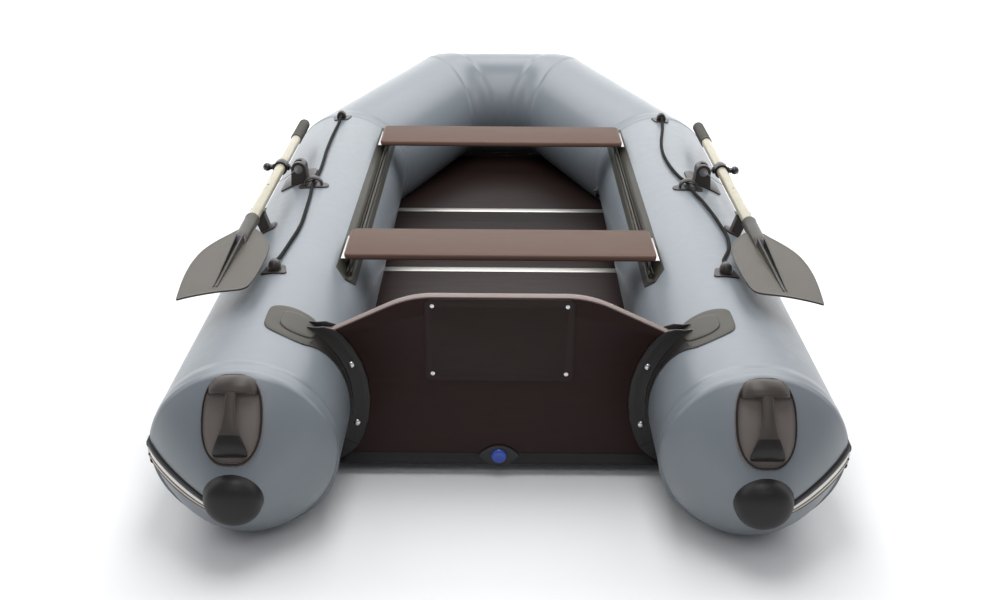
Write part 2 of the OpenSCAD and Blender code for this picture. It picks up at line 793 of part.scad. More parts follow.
block_r = barrel_d / 2 + barrel_wall;
module oarlock_base_one() {
  lean = asin((lock_x - half_beam) / tube_r);
  difference() {
    union() {
      curved_plate(lock_y + 40, lean + 3, 4) rounded([106, 142], 24);
      translate([lock_x, lock_y, lock_z]) rod_y(block_r, -barrel_len / 2, barrel_len / 2);
      along_y(lock_y - barrel_len / 2, lock_y + barrel_len / 2)
        polygon([
          [lock_x - block_r, lock_z], [lock_x + block_r, lock_z],
          [lock_x + block_r + 3, lock_z - 60], [lock_x - block_r - 6, lock_z - 60]
        ]);
    }
    side_core(tube_r + seat_gap);
    translate([lock_x, lock_y, lock_z]) rod_y(barrel_d / 2, -barrel_len, barrel_len);
    // slot in which the pin lifts from level to upright
    along_y(lock_y - pin_r - 2, lock_y + pin_r + 2) translate([lock_x, lock_z])
      polygon([[0, -pin_r - 1.5], [block_r + 10, -pin_r - 1.5], [block_r + 10, block_r + 10],
        [-pin_r - 1.5, block_r + 10], [-pin_r - 1.5, 0]]);
  }
}

module oarlock_bases() color("#3b3733") { oarlock_base_one(); port() oarlock_base_one(); }

module yoke_one()
  color("#8f8f92")
    translate([lock_x, lock_y, lock_z]) {
      rod_y(barrel_d / 2 - running, -barrel_len / 2, barrel_len / 2);
      rod_x(pin_r, 0, ball_x - lock_x);
      rod_x(pin_r + 4, block_r + 1, block_r + 5);
    }

module starboard_yoke() yoke_one();
module port_yoke() port() yoke_one();

module ball_cap_one()
  color("#191919")
    difference() {
      union() {
        translate([ball_x, lock_y, lock_z]) sphere(r = ball_r);
        translate([0, lock_y, lock_z]) rod_x(pin_r + 3, ball_x - ball_r - 4, ball_x);
      }
      translate([0, lock_y, lock_z]) rod_x(pin_r, ball_x - ball_r - 10, ball_x);
    }

module starboard_ball_cap() ball_cap_one();
module port_ball_cap() port() ball_cap_one();

// ---------------------------------------------------------------- oars

collar_len = 36;
collar_r = shaft_r + 6;
module collar_one()
  color("#1c1b1b")
    difference() {
      union() {
        translate([oar_x, lock_y, lock_z]) rod_y(collar_r, -collar_len / 2, collar_len / 2);
        translate([0, lock_y, lock_z]) rod_x(pin_r + 5, oar_x - collar_r - 4, oar_x + collar_r + 2);
      }
      translate([oar_x, lock_y, lock_z]) rod_y(shaft_r + 0.05, -collar_len, collar_len);
      translate([0, lock_y, lock_z]) rod_x(pin_r + running, oar_x - 40, oar_x + 40);
    }

module starboard_oar_collar() collar_one();
module port_oar_collar() port() collar_one();

// Pieces on the oar's axis, with Y still forward of the transom
module on_oar() translate([oar_x, 0, lock_z]) children();

module upper_shaft_one()
  color("#cfc7aa")
    on_oar() difference() {
      rod_y(shaft_r, shaft_joint, oar_head - 10);
      rod_y(shaft_r - shaft_wall, shaft_joint - 1, oar_head);
      translate([0, lock_y, 0]) rod_x(pin_r + running, -shaft_d, shaft_d);
      translate([0, hole_y, 0]) rod_x(3, 0, shaft_d);
    }

module lower_shaft_one() {
  spigot_r = shaft_r - shaft_wall - 0.1;
  color("#cfc7aa")
    on_oar() difference() {
      union() {
        rod_y(shaft_r, socket_end + 12, shaft_joint);
        rod_y(spigot_r, shaft_joint - 1, shaft_joint + spigot_len);
      }
      rod_y(spigot_r - shaft_wall, socket_end, shaft_joint + spigot_len + 1);
      translate([0, button_y, 0]) rod_x(button_r + running, 0, shaft_d);
      translate([0, hole_y, 0]) rod_x(3, 0, shaft_d);
    }
}

module starboard_upper_shaft() upper_shaft_one();
module port_upper_shaft() port() upper_shaft_one();
module starboard_lower_shaft() lower_shaft_one();
module port_lower_shaft() port() lower_shaft_one();

module grip_one() {
  grip_r = shaft_r + 3;
  color("#45433a")
    on_oar() difference() {
      union() {
        rod_y(grip_r, oar_head - grip_len, oar_head - 10);
        translate([0, oar_head - 10, 0]) rotate([-90, 0, 0]) rotate_extrude()
          polygon([[0, 0], for (a = [0:15:90]) [grip_r * cos(a), 10 * sin(a)]]);
      }
      rod_y(shaft_r + 0.05, oar_head - grip_len - 1, oar_head - 10);
    }
}

module starboard_grip() grip_one();
module port_grip() port() grip_one();

module blade_one() {
  rib_h = 15;
  color("#5c554a")
    on_oar() difference() {
      union() {
        translate([0, 0, -blade_t / 2]) linear_extrude(blade_t) polygon(blade_outline);
        rod_y(shaft_r + socket_wall, socket_end, socket_rim);
        // two ribs that run out along the blade's upper face
        for (s = [-1, 1])
          translate([s * 7, 0, 0]) rotate([0, 0, s * 0.9]) translate([-1.5, 0, 0])
            rotate([90, 0, 90]) linear_extrude(3)
              polygon([[socket_end - 315, 0], [socket_end + 8, 0], [socket_end + 8, rib_h],
                [socket_end - 40, rib_h]]);
      }
      rod_y(shaft_r + 0.05, socket_end + 12, socket_rim + 10);
    }
}

module starboard_blade() blade_one();
module port_blade() port() blade_one();

// Spring button through the shaft's outboard wall, with a head that keeps it in
module snap_button_one()
  color("#2a2a2a")
    on_oar() translate([0, button_y, 0]) {
      rod_x(button_r, button_head - 4.5, shaft_r + button_travel);
      rod_x(button_r + 1.2, button_head - 4.5, button_head);
    }

module starboard_snap_button() snap_button_one();
module port_snap_button() port() snap_button_one();

// Open cradle that the shaft lifts out of
module clip_one() {
  wide = 30;
  wall = 5;
  inner = shaft_r + 0.95;
  difference() {
    union() {
      curved_plate(clip_y, 27.5, 4) rounded([52, 62], 18);
      along_y(clip_y - wide / 2, clip_y + wide / 2) {
        difference() {
          translate([oar_x, lock_z]) circle(r = inner + wall);
          translate([oar_x - 40, lock_z - 3]) square([80, 60]);
        }
        polygon([[oar_x - 16, lock_z - 12], [oar_x + 14, lock_z - 12], [oar_x - 10, lock_z - 75],
          [oar_x - 38, lock_z - 75]]);
      }
    }
    side_core(tube_r + seat_gap);
    translate([oar_x, 0, lock_z]) rod_y(inner, clip_y - wide, clip_y + wide);
  }
}

module oar_clips() color("#3f3b36") { clip_one(); port() clip_one(); }

// ---------------------------------------------------------------- grab ropes

function blend(p, i, t) =
  let (a = p[max(i - 1, 0)], b = p[i], c = p[i + 1], d = p[min(i + 2, len(p) - 1)])
  0.5 * (2 * b + (c - a) * t + (2 * a - 5 * b + 4 * c - d) * t * t
    + (3 * b - a - 3 * c + d) * t * t * t);

module rope(route) {
  path = concat(
    [for (i = [0:len(route) - 2]) each [route[i], if (i % 2 == 1) blend(route, i, 0.5)]],
    [route[len(route) - 1]]
  );
  n = len(path);
  k = rope_sides;
  rings = [for (i = [0:n - 1]) let (
      d = unit(path[min(i + 1, n - 1)] - path[max(i - 1, 0)]),
      u = unit(cross(d, [0, 0, 1])), v = cross(u, d)
    ) for (j = [0:k - 1])
      path[i] + rope_d / 2 * (cos(360 * j / k) * u + sin(360 * j / k) * v)];
  walls = [for (i = [0:n - 2], j = [0:k - 1]) let (a = i * k + j, b = i * k + (j + 1) % k)
    each [[a, b, b + k], [a, b + k, a + k]]];
  caps = [[for (j = [k - 1:-1:0]) j], [for (j = [0:k - 1]) (n - 1) * k + j]];
  color("#1b1a19") polyhedron(rings, concat(walls, caps));
}

module starboard_grab_rope() rope(starboard_rope_route);
module port_grab_rope() port() rope(port_rope_route);

rope_rise = 13.5;
rope_end = 6;
dome_r = 15;
dome_rise = 13;
// Rubber dome; the rope goes into the side that faces the arch
module end_dome(y, angle, facing) {
  difference() {
    union() {
      curved_plate(y, angle, 3.5) rounded([62, 58], 12);
      on_tube(y, angle) translate([0, 0, tube_r - 4]) {
        cylinder(r = dome_r, h = dome_rise + 4);
        translate([0, 0, dome_rise + 4]) sphere(r = dome_r);
      }
    }
    side_core(tube_r + seat_gap);
    // blind hole for the rope, level along the tube
    translate([half_beam + tube_r * sin(angle), 0, tube_r + tube_r * cos(angle) + rope_rise])
      rod_y(rope_d / 2 + 1, min(y + facing * rope_end, y + facing * 40),
        max(y + facing * rope_end, y + facing * 40));
  }
}

module mid_arch(y, angle) {
  outer = 27;
  hole = 12;
  difference() {
    union() {
      curved_plate(y, angle, 5) rounded([90, 52], 25);
      on_tube(y, angle) translate([0, 0, tube_r + 9]) rod_y(outer, -13, 13);
    }
    side_core(tube_r + seat_gap);
    on_tube(y, angle) translate([0, 0, tube_r + 12]) rod_y(hole, -40, 40);
  }
}

module rope_holders_one() {
  end_dome(rope_fittings[0], rope_angles[0], 1);
  mid_arch(rope_fittings[1], rope_angles[1]);
  end_dome(rope_fittings[2], rope_angles[2], -1);
}

module rope_holders() color("#35312f") { rope_holders_one(); port() rope_holders_one(); }

// ---------------------------------------------------------------- air valves and tow ring

valve_bore = 9;
side_valve = [300, -97];
bow_valve = [side_len - 80, -108];

module valve_neck(at)
  difference() {
    union() {
      curved_plate(at[0], at[1], 4) circle(r = 24);
      on_tube(at[0], at[1]) translate([0, 0, tube_r + 2]) cylinder(r = 17, h = 6);
    }
    on_tube(at[0], at[1]) translate([0, 0, tube_r - 20]) cylinder(r = valve_bore, h = 60);
  }

module valve_cap(at)
  color("#232527")
    on_tube(at[0], at[1]) {
      translate([0, 0, tube_r + 8.2]) cylinder(r = 18.5, h = 6);
      translate([0, 0, tube_r + 2.5]) cylinder(r = valve_bore - running, h = 6);
      for (a = [0:45:315]) rotate([0, 0, a])
        translate([18, -2, tube_r + 8.2]) cube([2, 4, 6]);
    }

module valve_bodies()
  color("#2b2e31") {
    valve_neck(side_valve);
    port() valve_neck(side_valve);
    valve_neck(bow_valve);
  }

module starboard_valve_cap() valve_cap(side_valve);
module port_valve_cap() port() valve_cap(side_valve);
module bow_valve_cap() valve_cap(bow_valve);

// Local Z points out of the bow tube's skin, below its widest line
tow_angle = 34;
tow_bar_r = 4;
tow_eye = 9;
module on_bow() translate([0, bow_y, bow_z]) rotate([-90 - tow_angle, 0, 0]) children();

module tow_patch()
  color("#3a3834")
    difference() {
      union() {
        intersection() {
          on_bow() cylinder(r = 46, h = tube_r + 20);
          translate([0, bow_y, bow_z]) rod_x(tube_r + 3, -60, 60);
        }
        on_bow() translate([0, 0, tube_r + tow_eye]) rod_x(8, -14, 14);
        on_bow() translate([-14, -8, tube_r - 2]) cube([28, 16, tow_eye + 2]);
      }
      translate([0, bow_y, bow_z]) rod_x(tube_r + seat_gap, -80, 80);
      on_bow() translate([0, 0, tube_r + tow_eye]) rod_x(tow_bar_r + running, -80, 80);
    }

module tow_ring() {
  wide = 25;
  bar_y = bow_y + (tube_r + tow_eye) * cos(tow_angle);
  bar_z = bow_z - (tube_r + tow_eye) * sin(tow_angle);
  color("#c4c6c8")
    translate([0, bar_y, bar_z]) {
      rod_x(tow_bar_r, -wide, wide);
      for (s = [-1, 1]) {
        translate([s * wide, 0, -14]) cylinder(r = tow_bar_r, h = 14);
        translate([s * wide, 0, 0]) sphere(r = tow_bar_r);
      }
      translate([0, 0, -14]) rotate([-90, 0, 0]) rotate_extrude(angle = 180)
        translate([wide, 0]) circle(r = tow_bar_r);
    }
}

// ---------------------------------------------------------------- the two sides' skins

module starboard_side_tube() side_skin();
module port_side_tube() port() side_skin();
module starboard_tail_cone() tail_skin();
module port_tail_cone() port() tail_skin();
module starboard_bow_tube() angled_skin();
module port_bow_tube() port() angled_skin();

// ---------------------------------------------------------------- the boat

module placed() translate([0, -mid_y, 0]) children();

placed() port_side_tube();
placed() starboard_side_tube();
placed() port_tail_cone();
placed() starboard_tail_cone();
placed() port_bow_tube();
placed() starboard_bow_tube();
placed() bow_tube();
placed() chamber_baffles();
placed() tail_caps();
placed() port_tail_handle();
placed() starboard_tail_handle();
placed() bow_handle();
placed() rub_strake();
placed() bottom_skin();
placed() keel_tube();
placed() aft_floorboard();
placed() middle_aft_floorboard();
placed() middle_forward_floorboard();
placed() bow_floorboard();
placed() floor_joint_bars();
placed() floor_stringers();
placed() transom_board();
placed() transom_flap();
placed() motor_plates();
placed() transom_holders();
placed() transom_fasteners();
placed() drain_flange();
placed() drain_plug();
placed() seat_rails();
placed() aft_seat();
placed() forward_seat();
placed() aft_seat_runners();
placed() forward_seat_runners();
placed() oarlock_bases();
placed() port_yoke();
placed() starboard_yoke();
placed() port_ball_cap();
placed() starboard_ball_cap();
placed() port_oar_collar();
placed() starboard_oar_collar();
placed() port_upper_shaft();
placed() starboard_upper_shaft();
placed() port_lower_shaft();
placed() starboard_lower_shaft();
placed() port_grip();
placed() starboard_grip();
placed() port_blade();
placed() starboard_blade();
placed() port_snap_button();
placed() starboard_snap_button();
placed() oar_clips();
placed() port_grab_rope();
placed() starboard_grab_rope();
placed() rope_holders();
placed() valve_bodies();
placed() port_valve_cap();
placed() starboard_valve_cap();
placed() bow_valve_cap();
placed() tow_patch();
placed() tow_ring();
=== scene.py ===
"""An inflatable dinghy: fabric air tubes round a plywood floor, with two bench seats and two oars."""

import math

import bmesh
import bpy
from mathutils import Matrix, Vector


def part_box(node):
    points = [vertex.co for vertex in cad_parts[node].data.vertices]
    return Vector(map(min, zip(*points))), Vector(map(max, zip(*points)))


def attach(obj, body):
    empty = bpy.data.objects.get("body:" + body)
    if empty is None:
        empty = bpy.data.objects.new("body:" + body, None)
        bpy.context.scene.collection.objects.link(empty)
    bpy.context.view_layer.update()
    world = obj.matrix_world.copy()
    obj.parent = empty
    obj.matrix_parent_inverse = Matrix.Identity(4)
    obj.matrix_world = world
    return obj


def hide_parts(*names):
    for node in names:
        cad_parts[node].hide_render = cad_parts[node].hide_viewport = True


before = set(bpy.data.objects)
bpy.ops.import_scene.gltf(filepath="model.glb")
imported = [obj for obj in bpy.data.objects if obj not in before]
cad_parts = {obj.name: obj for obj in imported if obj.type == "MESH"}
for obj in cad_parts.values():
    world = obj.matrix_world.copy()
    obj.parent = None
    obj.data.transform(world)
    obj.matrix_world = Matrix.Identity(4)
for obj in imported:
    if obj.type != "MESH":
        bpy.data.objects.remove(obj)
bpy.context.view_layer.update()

# ---------------------------------------------------------------- camera and studio
# The camera stands behind the stern at head height and looks down along the boat.

TRANSOM_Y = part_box("transom_board")[0].y


def hull(x, y, z):
    """A point whose y is counted forward from the transom's aft face, in metres."""
    return Vector((x, TRANSOM_Y + y, z))


view = bpy.data.cameras.new("view")
view.sensor_width = 36
view.lens = 48.02
camera = bpy.data.objects.new("view", view)
bpy.context.scene.collection.objects.link(camera)
camera.location = hull(0, -2.762, 1.562)
camera.rotation_euler = (
    Matrix.Rotation(math.radians(90 - 22.01), 3, "X") @ Matrix.Rotation(math.radians(0.43), 3, "Z")
).to_euler()
bpy.context.scene.camera = camera
bpy.context.scene.view_settings.view_transform = "Standard"


def soft_light(name, place, aim, size, power):
    """A square soft box that hangs at place and faces aim."""
    lamp = bpy.data.lights.new(name, "AREA")
    lamp.shape = "RECTANGLE"
    lamp.size, lamp.size_y = size
    lamp.energy = power
    box = bpy.data.objects.new(name, lamp)
    bpy.context.scene.collection.objects.link(box)
    box.location = place
    box.rotation_euler = (Vector(aim) - Vector(place)).to_track_quat("-Z", "Y").to_euler()


soft_light("overhead", (0, -0.5, 3.0), (0, -0.1, 0), (1.2, 3.4), 60)
soft_light("stern_key", (0, -4.4, 3.3), (0, -0.9, 0.1), (3.0, 0.9), 20)
soft_light("left_wash", (-4.6, 0.5, 2.6), (-3.4, 0.5, 0), (2.5, 7), 95)
soft_light("right_wash", (4.6, 0.5, 2.6), (3.4, 0.5, 0), (2.5, 7), 95)
soft_light("backdrop_wash", (0, 5.5, 4.5), (0, 9.5, 2.0), (9, 2), 620)
soft_light("far_wash", (0, 5.2, 5.0), (0, 5.2, 0), (12, 4), 520)

room = bpy.data.worlds.new("room")
room.use_nodes = True
room.node_tree.nodes["Background"].inputs["Color"].default_value = (0.93, 0.95, 1.0, 1)
room.node_tree.nodes["Background"].inputs["Strength"].default_value = 0.36
bpy.context.scene.world = room


def linear(hex_colour):
    """An sRGB hex colour as linear red, green, blue and alpha."""
    parts = [int(hex_colour[i : i + 2], 16) / 255 for i in (1, 3, 5)]
    return (*[p / 12.92 if p <= 0.04045 else ((p + 0.055) / 1.055) ** 2.4 for p in parts], 1)


def finish_named(name, colour, roughness, metallic=0.0, **shader_values):
    """A new material with one Principled shader; returns the material and its shader node."""
    made = bpy.data.materials.new(name)
    made.use_nodes = True
    shader = made.node_tree.nodes["Principled BSDF"]
    shader.inputs["Base Color"].default_value = linear(colour)
    shader.inputs["Roughness"].default_value = roughness
    shader.inputs["Metallic"].default_value = metallic
    for socket, value in shader_values.items():
        shader.inputs[socket.replace("_", " ")].default_value = value
    return made, shader


def node(material, kind, sockets=None, **settings):
    """Adds one shader node; a socket takes a value, or another node's output to link to."""
    made = material.node_tree.nodes.new("ShaderNode" + kind)
    for name, value in settings.items():
        setattr(made, name, value)
    for socket, value in (sockets or {}).items():
        if isinstance(value, bpy.types.NodeSocket):
            material.node_tree.links.new(value, made.inputs[socket])
        else:
            made.inputs[socket].default_value = value
    return made


# Painted studio floor that runs back to a pale wall: matt emulsion, barely mottled.
studio_paint, paint_shader = finish_named("matt_studio_emulsion", "#F4F4F4", 0.9)
mottle = node(studio_paint, "TexNoise", {"Scale": 0.8, "Detail": 3.0})
pale = node(
    studio_paint,
    "Mix",
    {"Factor": mottle.outputs["Fac"], "A": linear("#F2F2F2"), "B": linear("#F7F7F7")},
    data_type="RGBA",
)
studio_paint.node_tree.links.new(pale.outputs["Result"], paint_shader.inputs["Base Color"])
bpy.ops.object.select_all(action="DESELECT")
bpy.ops.mesh.primitive_grid_add(x_subdivisions=2, y_subdivisions=40, size=2)
studio_floor = bpy.context.object
studio_floor.name = "studio_floor"
for corner in studio_floor.data.vertices:
    forward = (corner.co.y + 1) / 2
    bend = max(0.0, forward - 0.5) / 0.5
    corner.co = (corner.co.x * 16, -7 + 18 * min(forward, 0.5) / 0.5 * 0.9 + 3.2 * bend, 9 * bend**2 - 0.0015)
studio_floor.data.materials.append(studio_paint)

# ---------------------------------------------------------------- grab ropes
# Braided polyester rope, 10 mm, black: a sleeve of woven yarns over a core. Each runs along
# the top of its tube from a rubber dome aft, through an arch, to a dome forward.

ROPE_D = 0.010
ROPE_YARNS = 16
ROPE_LAY = 0.0045
PORT_ROPE = [
    (547, 1794, 413), (547, 1780, 413), (557, 1762, 412), (557, 1740, 408), (558, 1690, 405),
    (559, 1610, 405), (559, 1520, 406), (558, 1430, 406), (556, 1340, 406), (552, 1250, 406),
    (549, 1160, 406), (549, 1080, 407), (550, 1038, 410), (551, 1003, 411), (550, 965, 410),
    (547, 920, 407), (543, 850, 406), (540, 780, 406), (537, 710, 406), (535, 640, 406),
    (537, 570, 406), (542, 500, 406), (547, 430, 406), (551, 375, 407), (553, 338, 412),
    (554, 320, 413), (554, 306, 413),
]  # fmt: skip
PORT_ROPE[0], PORT_ROPE[1] = (557, 1794, 413), (557, 1780, 413)
STARBOARD_ROPE = [
    (557, 1794, 413), (557, 1780, 413), (557, 1762, 412), (555, 1730, 407), (549, 1670, 405),
    (538, 1590, 406), (526, 1500, 406), (518, 1410, 406), (516, 1320, 406), (520, 1230, 406),
    (528, 1150, 406), (538, 1085, 407), (547, 1038, 410), (551, 1003, 411), (553, 968, 410),
    (560, 930, 407), (572, 870, 405), (582, 800, 403), (590, 730, 401), (596, 660, 399),
    (600, 590, 398), (597, 530, 399), (588, 470, 401), (573, 420, 403), (560, 375, 407),
    (555, 338, 412), (554, 320, 413), (554, 306, 413),
]  # fmt: skip


def smooth_line(points, step):
    """A curve through the points, cut into lengths of about step."""
    line = []
    for i in range(len(points) - 1):
        a, b = points[max(i - 1, 0)], points[i]
        c, d = points[i + 1], points[min(i + 2, len(points) - 1)]
        parts = max(1, round((c - b).length / step))
        for k in range(parts):
            t = k / parts
            line.append(
                0.5
                * (
                    2 * b
                    + (c - a) * t
                    + (2 * a - 5 * b + 4 * c - d) * t**2
                    + (3 * b - a - 3 * c + d) * t**3
                )
            )
    return line + [points[-1]]


def select_only(piece):
    bpy.ops.object.select_all(action="DESELECT")
    piece.select_set(True)
    bpy.context.view_layer.objects.active = piece


def edit(piece, select="SELECT"):
    """Opens the piece in edit mode with all, or nothing, selected."""
    select_only(piece)
    bpy.ops.object.mode_set(mode="EDIT")
    bpy.ops.mesh.select_mode(type="VERT")
    bpy.ops.mesh.select_all(action=select)


def close_edit():
    bpy.ops.object.mode_set(mode="OBJECT")


def over_hoops(name, hoops, in_turn=True):
    """Stretches a skin over drawn hoops of as many points each, and closes both ends.

    in_turn bridges each pair by itself; without it all are bridged at once, nearest to nearest,
    which is quicker and does for a long tube."""
    count = len(hoops[0])
    points = [tuple(p) for hoop in hoops for p in hoop]
    edges = [
        (k * count + i, k * count + (i + 1) % count)
        for k in range(len(hoops))
        for i in range(count)
    ]
    mesh = bpy.data.meshes.new(name)
    mesh.from_pydata(points, edges, [])
    piece = bpy.data.objects.new(name, mesh)
    bpy.context.scene.collection.objects.link(piece)
    edit(piece)
    bpy.ops.mesh.select_mode(type="EDGE")
    bpy.ops.mesh.select_all(action="SELECT")
    if in_turn:
        for k in range(len(hoops) - 1):
            bpy.ops.mesh.select_all(action="DESELECT")
            work = bmesh.from_edit_mesh(mesh)
            work.edges.ensure_lookup_table()
            for edge in work.edges:
                a, b = (v.index // count for v in edge.verts)
                edge.select_set(a == b and k <= a <= k + 1)
            bpy.ops.mesh.bridge_edge_loops()
    else:
        bpy.ops.mesh.bridge_edge_loops()
    bpy.ops.mesh.select_all(action="SELECT")
    bpy.ops.mesh.fill_holes(sides=0)
    bpy.ops.mesh.select_all(action="SELECT")
    bpy.ops.mesh.normals_make_consistent(inside=False)
    close_edit()
    return piece


def lay_uv(piece, across, along, count):
    """Lays a UV map in metres: across grows round each hoop, along from hoop to hoop."""
    uv = piece.data.uv_layers.new(name="metres")
    for face in piece.data.polygons:
        columns = [v % count for v in face.vertices]
        wraps = max(columns) - min(columns) > count / 2
        for loop, v in zip(face.loop_indices, face.vertices):
            column, hoop = v % count, v // count
            if wraps and column < count / 2:
                column += count
            uv.data[loop].uv = (across[hoop] * column / count, along[hoop])


def dress(piece, material, body="hull", replaces=()):
    """Gives a finished piece its material, body and the CAD nodes that it stands for."""
    for m in material if isinstance(material, (list, tuple)) else [material]:
        piece.data.materials.append(m)
    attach(piece, body)
    if replaces:
        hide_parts(*replaces)
    return piece


def smooth(piece, angle=40):
    select_only(piece)
    bpy.ops.object.shade_smooth_by_angle(angle=math.radians(angle))


# Black spun polyester: matt, with the yarns of the sleeve crossing every 4.5 mm. The grooves between the
# yarns are painted darker than their crowns: painted shade.
rope_yarn, rope_shader = finish_named("braided_polyester", "#131211", 0.8, Specular_IOR_Level=0.2)
rope_uv = node(rope_yarn, "UVMap", uv_map="metres")
crossing = []
for turn in (1, -1):
    lean = node(
        rope_yarn,
        "Mapping",
        {
            "Vector": rope_uv.outputs["UV"],
            "Rotation": (0, 0, turn * math.radians(45)),
            "Scale": (1 / ROPE_LAY, 1 / ROPE_LAY, 1),
        },
    )
    crossing.append(
        node(
            rope_yarn,
            "TexWave",
            {"Vector": lean.outputs["Vector"], "Scale": 0.32, "Distortion": 0.4, "Detail": 1.0},
            bands_direction="X",
        )
    )
plait = node(
    rope_yarn,
    "Math",
    {0: crossing[0].outputs["Fac"], 1: crossing[1].outputs["Fac"]},
    operation="MULTIPLY",
)
# painted shade: the colour follows the weave's height, darker in the grooves between the yarns and lighter on
# their crowns
yarn_groove_shade = node(
    rope_yarn,
    "Mix",
    {"Factor": plait.outputs["Value"], "A": linear("#070606"), "B": linear("#191716")},
    data_type="RGBA",
)
rope_yarn.node_tree.links.new(yarn_groove_shade.outputs["Result"], rope_shader.inputs["Base Color"])
raised = node(
    rope_yarn, "Bump", {"Height": plait.outputs["Value"], "Strength": 0.7, "Distance": 0.0008}
)
rope_yarn.node_tree.links.new(raised.outputs["Normal"], rope_shader.inputs["Normal"])

ROPE_SIDES = 16
for side, name, route in ((-1, "port", PORT_ROPE), (1, "starboard", STARBOARD_ROPE)):
    line = smooth_line([hull(side * x / 1000, y / 1000, z / 1000) for x, y, z in route], 0.0028)
    hoops, run = [], [0.0]
    for k, p in enumerate(line):
        ahead = (line[min(k + 1, len(line) - 1)] - line[max(k - 1, 0)]).normalized()
        across = ahead.cross(Vector((0, 0, 1))).normalized()
        up = across.cross(ahead)
        hoop = []
        for i in range(ROPE_SIDES):
            turn = 2 * math.pi * i / ROPE_SIDES
            yarn = math.cos(4 * turn + k * 0.75) * math.cos(4 * turn - k * 0.75)
            radius = ROPE_D / 2 - 0.0003 + 0.0003 * yarn
            hoop.append(p + radius * (math.cos(turn) * across + math.sin(turn) * up))
        hoops.append(hoop)
        if k:
            run.append(run[-1] + (p - line[k - 1]).length)
    rope = over_hoops(name + "_rope", hoops, in_turn=False)
    lay_uv(rope, [math.pi * ROPE_D] * len(hoops), run, ROPE_SIDES)
    smooth(rope, 80)
    dress(rope, rope_yarn, replaces=[name + "_grab_rope"])
    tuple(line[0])  # fmt: skip
    print(name, "rope length", round(run[-1], 4))

# ---------------------------------------------------------------- air tubes
# Coated PVC fabric, welded along its seams and blown up hard: 0.40 m tubes whose lengths
# meet in mitres, and tail cones. Each weld has a tape outside, which stands 0.8 mm proud.

TUBE_R = 0.200
TUBE_SIDES = 96
HALF_BEAM = 0.540
TAIL_JOINT = hull(HALF_BEAM, -0.250, TUBE_R)
SIDE_MITRE = hull(HALF_BEAM, 1.870, TUBE_R)
BOW_MITRE = hull(0.215, 2.580, 0.268)
CONE_LEN, CAP_R, CONE_DROOP, CONE_BULGE = 0.150, 0.060, math.radians(12.8), 1.35
TAIL_AHEAD = Vector((0, math.cos(CONE_DROOP), math.sin(CONE_DROOP)))
TAPE_HALF, TAPE_T = 0.020, 0.0007
CREASES = [0.016, 0.014, 0.050, 0.050, 0.014, 0.016]
BELLY = 0.024


def mirrored(p):
    return Vector((-p.x, p.y, p.z))


JOINTS = [TAIL_JOINT, SIDE_MITRE, BOW_MITRE, mirrored(BOW_MITRE), mirrored(SIDE_MITRE)]
JOINTS.append(mirrored(TAIL_JOINT))
HEADINGS = [(b - a).normalized() for a, b in zip(JOINTS, JOINTS[1:])]
HEADINGS = [TAIL_AHEAD, *HEADINGS, Vector((0, -TAIL_AHEAD.y, -TAIL_AHEAD.z))]
OUTWARD = [Vector((1, 0, 0))]
for before, after in zip(HEADINGS, HEADINGS[1:]):
    seam = (before + after).normalized()
    OUTWARD.append(-((-OUTWARD[-1]) - 2 * (-OUTWARD[-1]).dot(seam) * seam))


def rib(leg, turn):
    """Unit vector from a leg's centre line to its skin; turn grows from outward to downward."""
    return math.cos(turn) * OUTWARD[leg] + math.sin(turn) * HEADINGS[leg].cross(OUTWARD[leg])


def at_joint(j, turn, radius):
    """Where the line along the skin at turn meets the plane of joint j."""
    seam = (HEADINGS[j] + HEADINGS[j + 1]).normalized()
    start = JOINTS[j] + radius * rib(j + 1, turn)
    return start + HEADINGS[j + 1] * ((JOINTS[j] - start).dot(seam) / HEADINGS[j + 1].dot(seam))


def cone_radius(s):
    return CAP_R + (TUBE_R - CAP_R) * (1 - (max(s, 0) / CONE_LEN) ** CONE_BULGE)


def on_cone(port_side, s, turn, lift):
    """Point on a tail cone's skin, s aft of its joint along the axis."""
    low = max(0.0, math.sin(turn)) ** 2
    share = max(0.0, min(1.0, s / CONE_LEN))
    radius = cone_radius(s) + lift + BELLY * low * math.sin(math.pi * share) ** 1.2
    out = math.cos(turn) * Vector((1, 0, 0)) + math.sin(turn) * TAIL_AHEAD.cross(Vector((1, 0, 0)))
    point = TAIL_JOINT - TAIL_AHEAD * s + radius * out
    return mirrored(point) if port_side else point


def cone_start(turn, lift):
    """How far aft of the joint's centre the seam lies at turn."""
    return (TAIL_JOINT - at_joint(0, turn, TUBE_R + lift)).dot(TAIL_AHEAD)


